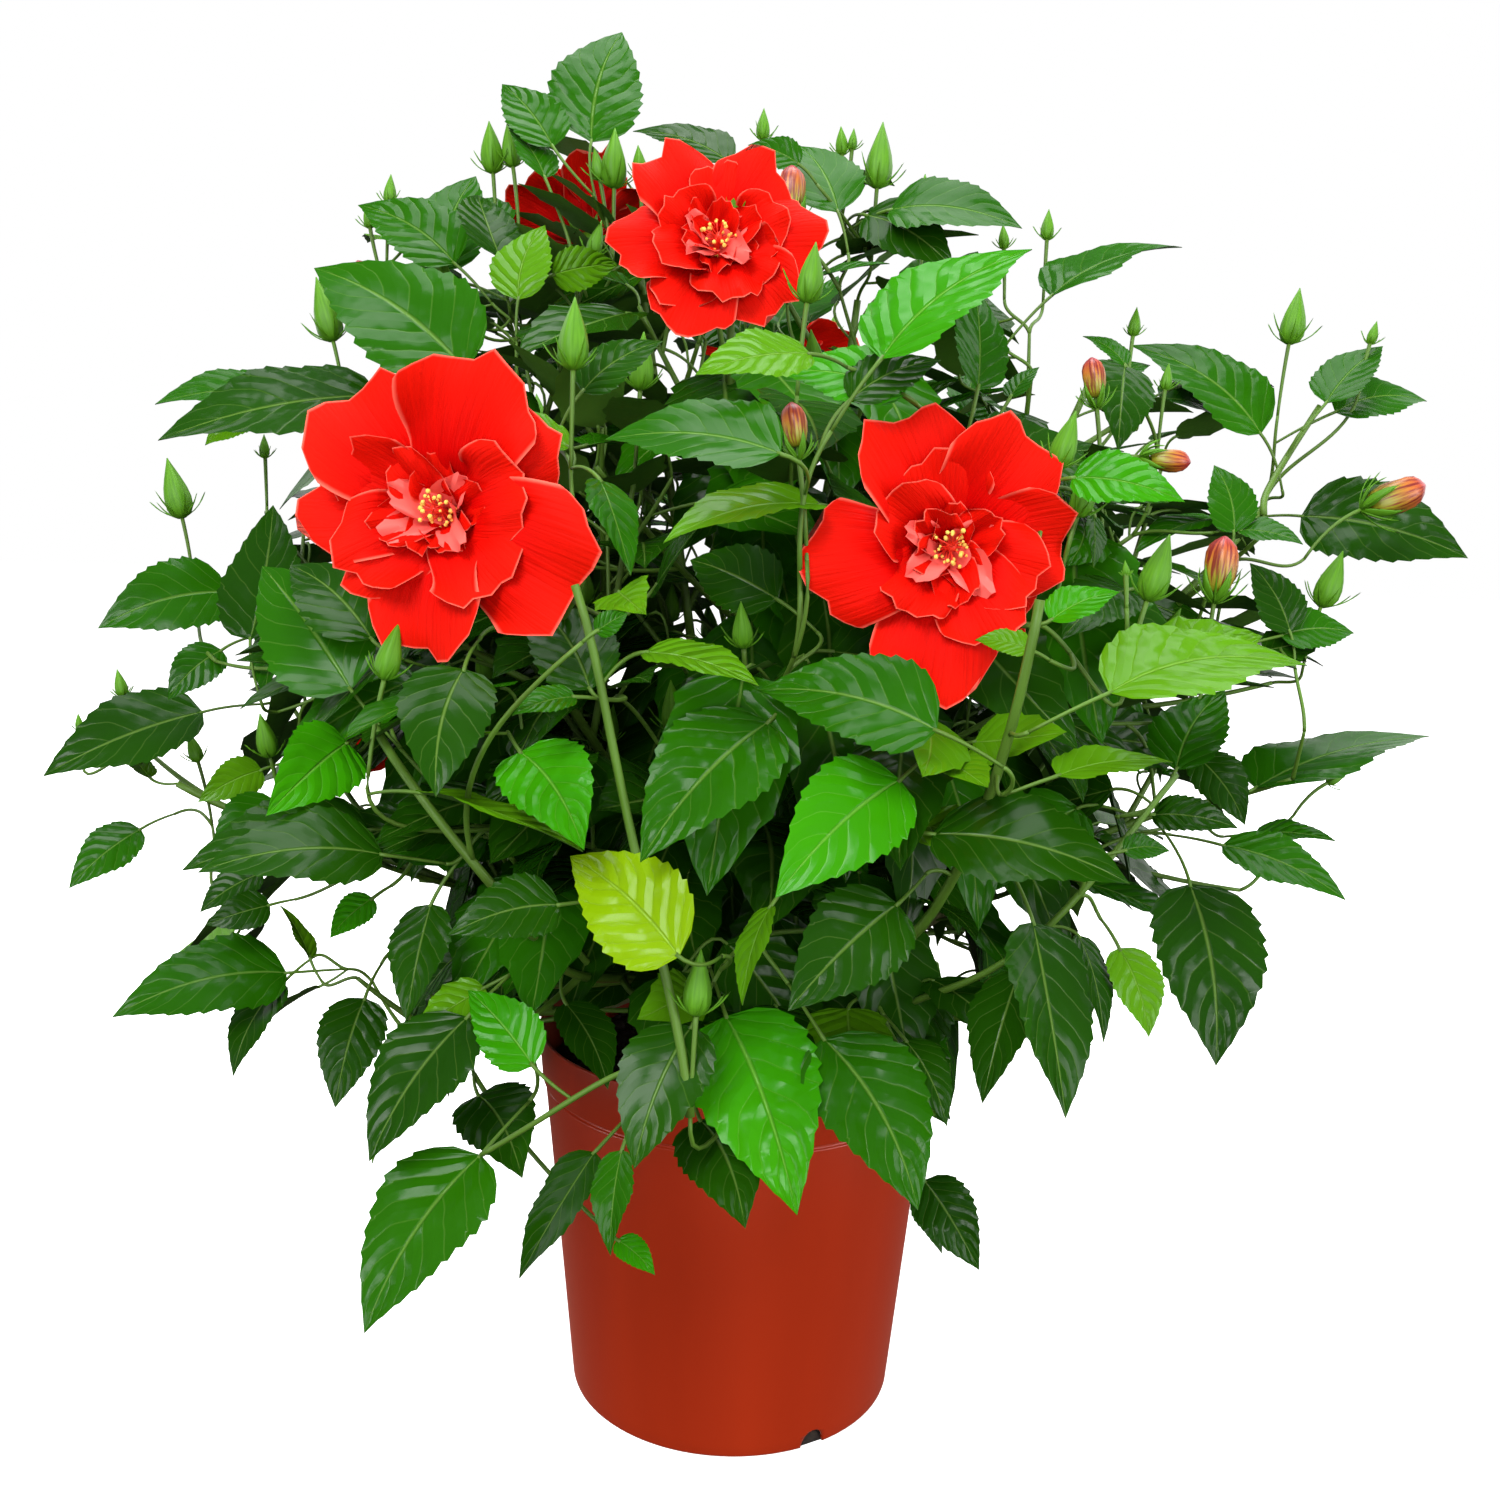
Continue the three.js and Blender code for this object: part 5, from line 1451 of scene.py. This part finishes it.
for u0, v0, u1, v1, layer, wide, tone in SHOWN_LEAVES:
    form_draws = draw(), draw(), draw()
    choices = []
    for shift in SHOWN_SHIFTS:
        base = crown_point(u0, v0, layer + shift)
        tip = same_depth(u1, v1, base)
        apparent = np.linalg.norm(tip - base)
        nearer = apparent * math.sqrt(max((wide / LEAF_WIDTH) ** 2 - 1, 0.12))
        nearer = min(nearer, MOST_FORWARD) if v1 > v0 else -min(nearer, MOST_BACK)
        tip = CAMERA_PLACE + photo_ray(u1, v1) * ((base - CAMERA_PLACE) @ AHEAD - nearer)
        chord = towards(base, tip)
        reach = np.linalg.norm(tip - base)
        to_camera = towards(base, CAMERA_PLACE)
        open_face = mixed((to_camera, 1), (chord, -(to_camera @ chord)))
        lifted = np.cross(chord, open_face)
        lifted *= 1 if lifted[2] + 0.2 * lifted[0] * np.sign(base[0]) > 0 else -1
        roll = math.acos(min(1.0, wide * apparent / (LEAF_WIDTH * reach)))
        flat_face = mixed((open_face, math.cos(roll)), (lifted, math.sin(roll)))
        arch = SHOWN_ARCH + SHOWN_ARCH_RANGE * form_draws[0]
        beta = math.atan(arch)
        leaf = {
            "base": base,
            "blade": chord * math.cos(beta) + flat_face * math.sin(beta),
            "face": flat_face * math.cos(beta) - chord * math.sin(beta),
        }
        upwards = np.sign(np.cross(leaf["blade"], leaf["face"])[2])
        bend = upwards * (0.02 + 0.05 * form_draws[2])
        fold = FOLD + FOLD_RANGE * form_draws[1]
        leaf["form"] = (reach * math.cos(beta), LEAF_WIDTH, fold, arch, bend, 6 * form_draws[2])
        room = leaf_room(leaf)
        if in_box(room) and is_clear(room, ROOM_FACES):
            root, hiding = stalk_root(leaf, reach)
            hiding += best_start(root, towards(root, leaf["base"]))[3]
            choices.append((hiding, len(choices), leaf, root))
            if hiding < ENOUGH_CLEAR:
                break
    if choices:
        _, _, leaf, root = min(choices, key=lambda choice: choice[:2])
        stand_leaf(leaf, tone, shoot_towards(root, towards(root, leaf["base"])), True)

# What is tried in turn where a grown leaf has no room: its size, its turn round its twig, and how
# much it follows its mass's own heading
CHANGES = [
    (1, 0, 0), (1, 0.6, 0.35), (1, -0.6, 0.35), (0.94, 0, 0.9), (0.94, 1.2, 0), (0.94, -1.2, 0),
    (0.9, 2.8, 0.5), (0.9, 2, 0), (0.9, -2, 0), (0.82, 1.5, 1), (0.82, 3.6, 0), (0.74, -1.5, 1.3),
    (0.7, 0.9, 0), (0.7, -0.9, 0),
]
# A grown leaf stays within this of its mass's space, or as near the fork as this. Next come its
# room round the pot, the shares of it that may hide what shows and cover sky, and the last place on
# a shoot where a leaf stands.
WALL_SPARE = 45
INNER_REACH = 190
RIM_SPARE, POT_SPARE = 4, 5
LEAF_HIDING = 0.03
LEAF_SKY = 0.05
LAST_PLACE = 0.985
heads = {name: towards(FORK, tip) for name, tip in TIPS.items()}
walls = {name: np.stack([towards(heads[other], heads[name]) for other in TIPS if other != name])
         for name in TIPS}


def has_room(leaf, mass):
    """Whether a grown leaf keeps to its mass's space and reach and to the CAD's box, clear of the
    pot and of every leaf that stands, hides nothing that shows, and leaves the sky open."""
    points = leaf_room(leaf)
    flat = points.reshape(-1, 3)
    away = flat - FORK
    if np.linalg.norm(away, axis=1).max() > np.linalg.norm(TIPS[mass] - FORK) + REACH_SPARE:
        return False
    if (away @ walls[mass].T).min() < -WALL_SPARE and np.linalg.norm(away[0]) > INNER_REACH:
        return False
    over_pot = np.hypot(flat[:, 0], flat[:, 1]) < RIM_RADIUS + RIM_SPARE
    if not in_box(flat) or (over_pot & (flat[:, 2] < POT_HEIGHT + POT_SPARE)).any():
        return False
    dense = blades([leaf], DENSE_SHARES[::2], DENSE_ACROSS[::2]).reshape(-1, 3)
    row, column, _ = photo_cells(dense)
    behind_pot = (dense[:, 1] > 0) & pot_cells[row, column]
    against_sky = sky[row, column] & ~behind_pot
    if hidden_by(dense[None])[0] > LEAF_HIDING or against_sky.mean() > LEAF_SKY:
        return False
    return is_clear(points, ROOM_FACES)


lean = math.radians(PETIOLE_ANGLE)
for shoot in sorted(shoots, key=lambda shoot: -shoot["rank"]):
    line, mass = shoot["line"], shoot["mass"]
    total = line_length(line)
    count = max(2, int(total / (INNER_PITCH if shoot["rank"] == WOOD else LEAF_PITCH)))
    phase = draw() * 2 * math.pi
    tone_draw = draw()
    for k in range(count // 3 if shoot["rank"] == WOOD else 0, count):
        place = (k + 1) / count
        age = np.clip(YOUNG_SHARE + (1 - YOUNG_SHARE) * (1 - place) * total / YOUNG_STRETCH, 0, 1)
        size = LEAF_LENGTH * age * (1 + (draw() - 0.5) * 0.2)
        droop_draw, roll_draw, fold_draw, wave_draw = draw(), draw(), draw(), draw()
        young = 1 - np.clip((age - YOUNG_SHARE) / (1 - YOUNG_SHARE), 0, 1)
        root = point_at(line, min(place, LAST_PLACE))
        axis = heading_at(line, min(place, LAST_PLACE))
        outward = mixed(((root[0], root[1], 0.001), 1))
        for smaller, turn, follow in CHANGES:
            length = size * smaller
            side = turned_about(sideways(axis), axis, phase + k * math.radians(LEAF_TURN) + turn)
            stalk = mixed((axis, math.cos(lean)), (side, math.sin(lean)),
                          (outward, LEAF_STALK_OUT), (UP, LEAF_STALK_LIFT))
            base = root + stalk * length * PETIOLE_SHARE
            level = mixed((stalk, 1), (outward, LEVEL_OUT), (UP, -stalk[2]))
            height = np.clip((base[2] - DROOP_LOW_Z) / (DROOP_TOP_Z - DROOP_LOW_Z), 0, 1)
            rest = DROOP_LOW + (DROOP_TOP - DROOP_LOW) * height * height * (3 - 2 * height)
            droop = math.radians(rest - YOUNG_LIFT * young + (droop_draw - 0.5) * DROOP_RANGE)
            free = mixed((level, math.cos(droop)), (UP, -math.sin(droop)))
            blade = mixed((free, 1), (heads[mass], follow))
            light = mixed((UP, LIGHT_UP), (towards(CROWN_CENTRE, base), LIGHT_OUT))
            upper = mixed((light, 1), (blade, -(light @ blade)))
            face = turned_about(upper, blade, (roll_draw - 0.5) * ROLL_RANGE)
            form = (length, LEAF_WIDTH, FOLD + FOLD_RANGE * fold_draw,
                    GROWN_ARCH + GROWN_ARCH_RANGE * wave_draw, BEND_RANGE * (roll_draw - 0.5),
                    6 * wave_draw)
            leaf = {"base": base, "blade": blade, "face": face, "form": form}
            if has_room(leaf, mass):
                outer = np.linalg.norm((base - CROWN_MIDDLE) / CROWN_HALF)
                # The bright tone is painted light high on the outside, the dark tone painted shade
                # within
                if young > YOUNG_TONE and outer > YOUNG_LAYER:
                    tone = "y"
                elif outer > PAINTED_LIGHT_LAYER and base[2] > PAINTED_LIGHT_Z:
                    tone = "b" if tone_draw < LIGHTER_SHARE else "m"
                else:
                    tone = "m" if tone_draw < LIGHTER_SHARE else "d"
                stand_leaf(leaf, tone, root, False)
                shoot["used"] = max(shoot["used"], min(place, LAST_PLACE))
                break

# A blade is thin: seven points across its upper side where it shows and five where it is grown, an
# underside of five points or one keel, and teeth at the margin, where each pair of rows is the
# point of a tooth and the notch behind it.
SHOWN_TEETH = 9
GROWN_TEETH = 4
SHOWN_RING = ([-1, -0.72, -0.36, 0, 0.36, 0.72, 1, 0.72, 0.36, 0, -0.36, -0.72],
              [0] * 7 + [1] * 5)
GROWN_RING = ([-1, -0.5, 0, 0.5, 1, 0], [0] * 5 + [1])


def leaf_block(some, ring, teeth):
    """Rings and uv of closed blades with a number of teeth, and the finish of each strip of faces:
    the upper side up to the last margin point, then the underside."""
    points = np.linspace(0.18, 0.9, teeth)
    pairs = np.stack([points, points + 0.22 * (points[1] - points[0])], axis=1).ravel()
    rows = np.concatenate([[0.0, 0.04, 0.1], pairs, [1.0]])
    depth = 0.26 / teeth + 0.03
    margin = np.concatenate([[1, 1, 1], np.tile([1 + depth * 0.35, 1 - depth], teeth), [1]])
    margin = margin[None, :, None]
    x, under = np.array(ring[0], float), np.array(ring[1], float)
    rings = blades(some, rows, x, np.where(np.abs(x) == 1, margin, 1.0), under * LEAF_THICKNESS)
    shares = np.broadcast_arrays(x * 0.5 + 0.5, rows[None, :, None], rings[..., 0])[:2]
    uv = np.stack(shares, axis=-1)
    last = int(x.argmax())
    return rings, uv, [0] * last + [1] * (len(x) - last)


def leaf_material(name, colour, deep, quilting):
    """A leaf's upper side: waxy green that varies from spray to spray, a paler midrib with six or
    seven slanting side veins on each half, and the blade quilted up between them."""
    made, tree, shader = new_material(name, colour, 0.5, Specular_IOR_Level=0.0, Coat_Weight=0.26,
                                      Coat_IOR=1.45, Coat_Roughness=0.21)
    where = add_node(tree, "UVMap", uv_map="surface")
    split = add_node(tree, "SeparateXYZ", Vector=where)
    centred = add_node(tree, "Math", operation="SUBTRACT", in0=split, in1=0.5)
    aside = add_node(tree, "Math", operation="ABSOLUTE", in0=centred)
    slanted = add_node(tree, "Math", operation="MULTIPLY_ADD", in0=aside, in1=-0.62,
                       in2=split.outputs["Y"])
    soft = add_node(tree, "TexNoise", Vector=where, Scale=3.0, Detail=1.0)
    bowed = add_node(tree, "Math", operation="MULTIPLY_ADD", in0=soft, in1=0.09, in2=slanted)
    spaced = add_node(tree, "Math", operation="MULTIPLY", in0=bowed, in1=6.5)
    from_vein = add_node(tree, "Math", operation="PINGPONG", in0=spaced, in1=0.5)
    side_vein = add_node(tree, "MapRange", interpolation_type="SMOOTHSTEP", Value=from_vein,
                         From_Min=0.0, From_Max=0.06, To_Min=0.4, To_Max=0.0)
    midrib = add_node(tree, "MapRange", interpolation_type="SMOOTHSTEP", Value=aside,
                      From_Min=0.004, From_Max=0.026, To_Min=1.2, To_Max=0.0)
    veins = add_node(tree, "Math", operation="MAXIMUM", in0=side_vein, in1=midrib)
    place = add_node(tree, "TexCoord")
    spray = add_node(tree, "TexNoise", Vector=place.outputs["Object"], Scale=14.0, Detail=1.0)
    greens = add_node(tree, "Mix", data_type="RGBA", Factor=spray, A=linear(deep), B=linear(colour))
    pale = add_node(tree, "Math", operation="MULTIPLY", in0=veins, in1=0.15)
    veined = add_node(tree, "Mix", data_type="RGBA", Factor=pale, A=greens, B=linear("#9CC45A"))
    quilted = add_node(tree, "Math", operation="POWER", in0=from_vein, in1=0.6)
    grooved = add_node(tree, "Math", operation="SUBTRACT", in0=quilted, in1=midrib)
    crumple = add_node(tree, "TexNoise", Vector=place.outputs["Object"], Scale=52.0, Detail=2.0)
    rumpled = add_node(tree, "Math", operation="MULTIPLY_ADD", in0=crumple, in1=2.3, in2=grooved)
    bolder = add_node(tree, "TexNoise", Vector=place.outputs["Object"], Scale=11.0, Detail=0.0)
    boldness = add_node(tree, "MapRange", Value=bolder, From_Min=0.36, From_Max=0.62, To_Min=0.25,
                        To_Max=1.35)
    height = add_node(tree, "Math", operation="MULTIPLY", in0=rumpled, in1=boldness)
    relief = add_node(tree, "Bump", Strength=quilting, Distance=0.002, Height=height)
    give(shader, Base_Color=veined, Normal=relief, Coat_Normal=relief)
    return made


# The underside is paler and dull, with a raised net of veins about 4 mm apart.
underside, tree, shader = new_material("leaf_underside", "#3F661A", 0.62, Specular_IOR_Level=0.25)
place = add_node(tree, "TexCoord")
netting = add_node(tree, "TexVoronoi", feature="DISTANCE_TO_EDGE", Vector=place.outputs["Object"],
                   Scale=260.0)
net_relief = add_node(tree, "Bump", invert=True, Strength=0.3, Distance=0.0006, Height=netting)
give(shader, Normal=net_relief)

# Each tone of leaf: its piece, its colour, its colour in the darker sprays, and its quilting. The
# dark tone is painted shade and the bright tone painted light; mid, young and lime are the leaves'
# own greens.
LEAF_TONES = {
    "d": ("dark_leaves", "#1C4803", "#0F3002", 0.4),
    "m": ("mid_leaves", "#245F03", "#144202", 0.45),
    "b": ("bright_leaves", "#358905", "#206A02", 0.6),
    "y": ("young_leaves", "#548A0D", "#3A6C05", 0.6),
    "l": ("lime_leaves", "#789C08", "#648804", 0.55),
}
for tone, (name, *look) in LEAF_TONES.items():
    finish = leaf_material(name.replace("leaves", "leaf"), *look)
    blocks = []
    for shown, ring, teeth in ((True, SHOWN_RING, SHOWN_TEETH), (False, GROWN_RING, GROWN_TEETH)):
        some = [leaf for leaf in leaves[tone] if leaf["shown"] == shown]
        if some:
            blocks.append(leaf_block(some, ring, teeth))
    piece = closed_tubes(name, blocks, [finish, underside], sharp=LEAF_SHARP)
    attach(piece, "root")
    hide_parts(*MASSES)

# The green stems: every shoot, and the stalk of every leaf, bud and flower, as slim round tubes.
# They are living stems, soft green with paler and browner stretches, and they taper outwards.
SHOOT_SIDES = 7
SHOOT_ROWS = 17
STALK_SIDES = 5
PETAL_CLEAR = 3
PETAL_DEPTH = 18
green_stem, tree, shader = new_material("green_stem", "#4E6E20", 0.5, Specular_IOR_Level=0.3)
place = add_node(tree, "TexCoord")
ageing = add_node(tree, "TexNoise", Vector=place.outputs["Object"], Scale=18.0, Detail=2.0)
stem_greens = add_node(tree, "Mix", data_type="RGBA", Factor=ageing, A=linear("#3B4E16"),
                       B=linear("#578226"))
give(shader, Base_Color=stem_greens)


def behind_petals(points):
    """Points just before a petal that shows, or too close behind it, moved back along their line of
    sight until they are clear behind it."""
    row, column, depth = photo_cells(points)
    pierced = petal_fronts[row, column] + PETAL_CLEAR - depth
    back = np.where((pierced > 0) & (pierced < PETAL_DEPTH), pierced, 0) / depth
    return points + (points - CAMERA_PLACE) * back.reshape(points.shape[:-1])[..., None]


for shoot in reversed(shoots):
    if shoot["carrier"] is not None and shoot["used"] > 0:
        shoot["carrier"]["used"] = max(shoot["carrier"]["used"], shoot["share"])
bearing_shoots = [shoot for shoot in shoots if shoot["used"] > 0 and shoot["rank"] != WOOD]
shoot_lines = np.stack([
    [point_at(shoot["line"], share) for share in np.linspace(0, shoot["used"], SHOOT_ROWS)]
    for shoot in bearing_shoots
])
shoot_radii = np.stack([np.linspace(*shoot["radii"], SHOOT_ROWS) for shoot in bearing_shoots])
stalk_rows = np.stack([line[::4] for line, _, _ in stalk_lines])
stalk_radii = np.stack([np.linspace(first, last, stalk_rows.shape[1])
                        for _, first, last in stalk_lines])
shoot_lines = behind_petals(shoot_lines)
stalk_rows[:, :-1] = behind_petals(stalk_rows[:, :-1])
shoot_rings = rings_along(shoot_lines, shoot_radii, SHOOT_SIDES)
stalk_rings = rings_along(stalk_rows, stalk_radii, STALK_SIDES)
for name, rings in (("green_shoots", shoot_rings), ("stalks", stalk_rings)):
    piece = closed_tubes(name, [(rings,)], [green_stem])
    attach(piece, "root")
    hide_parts(*MASSES)
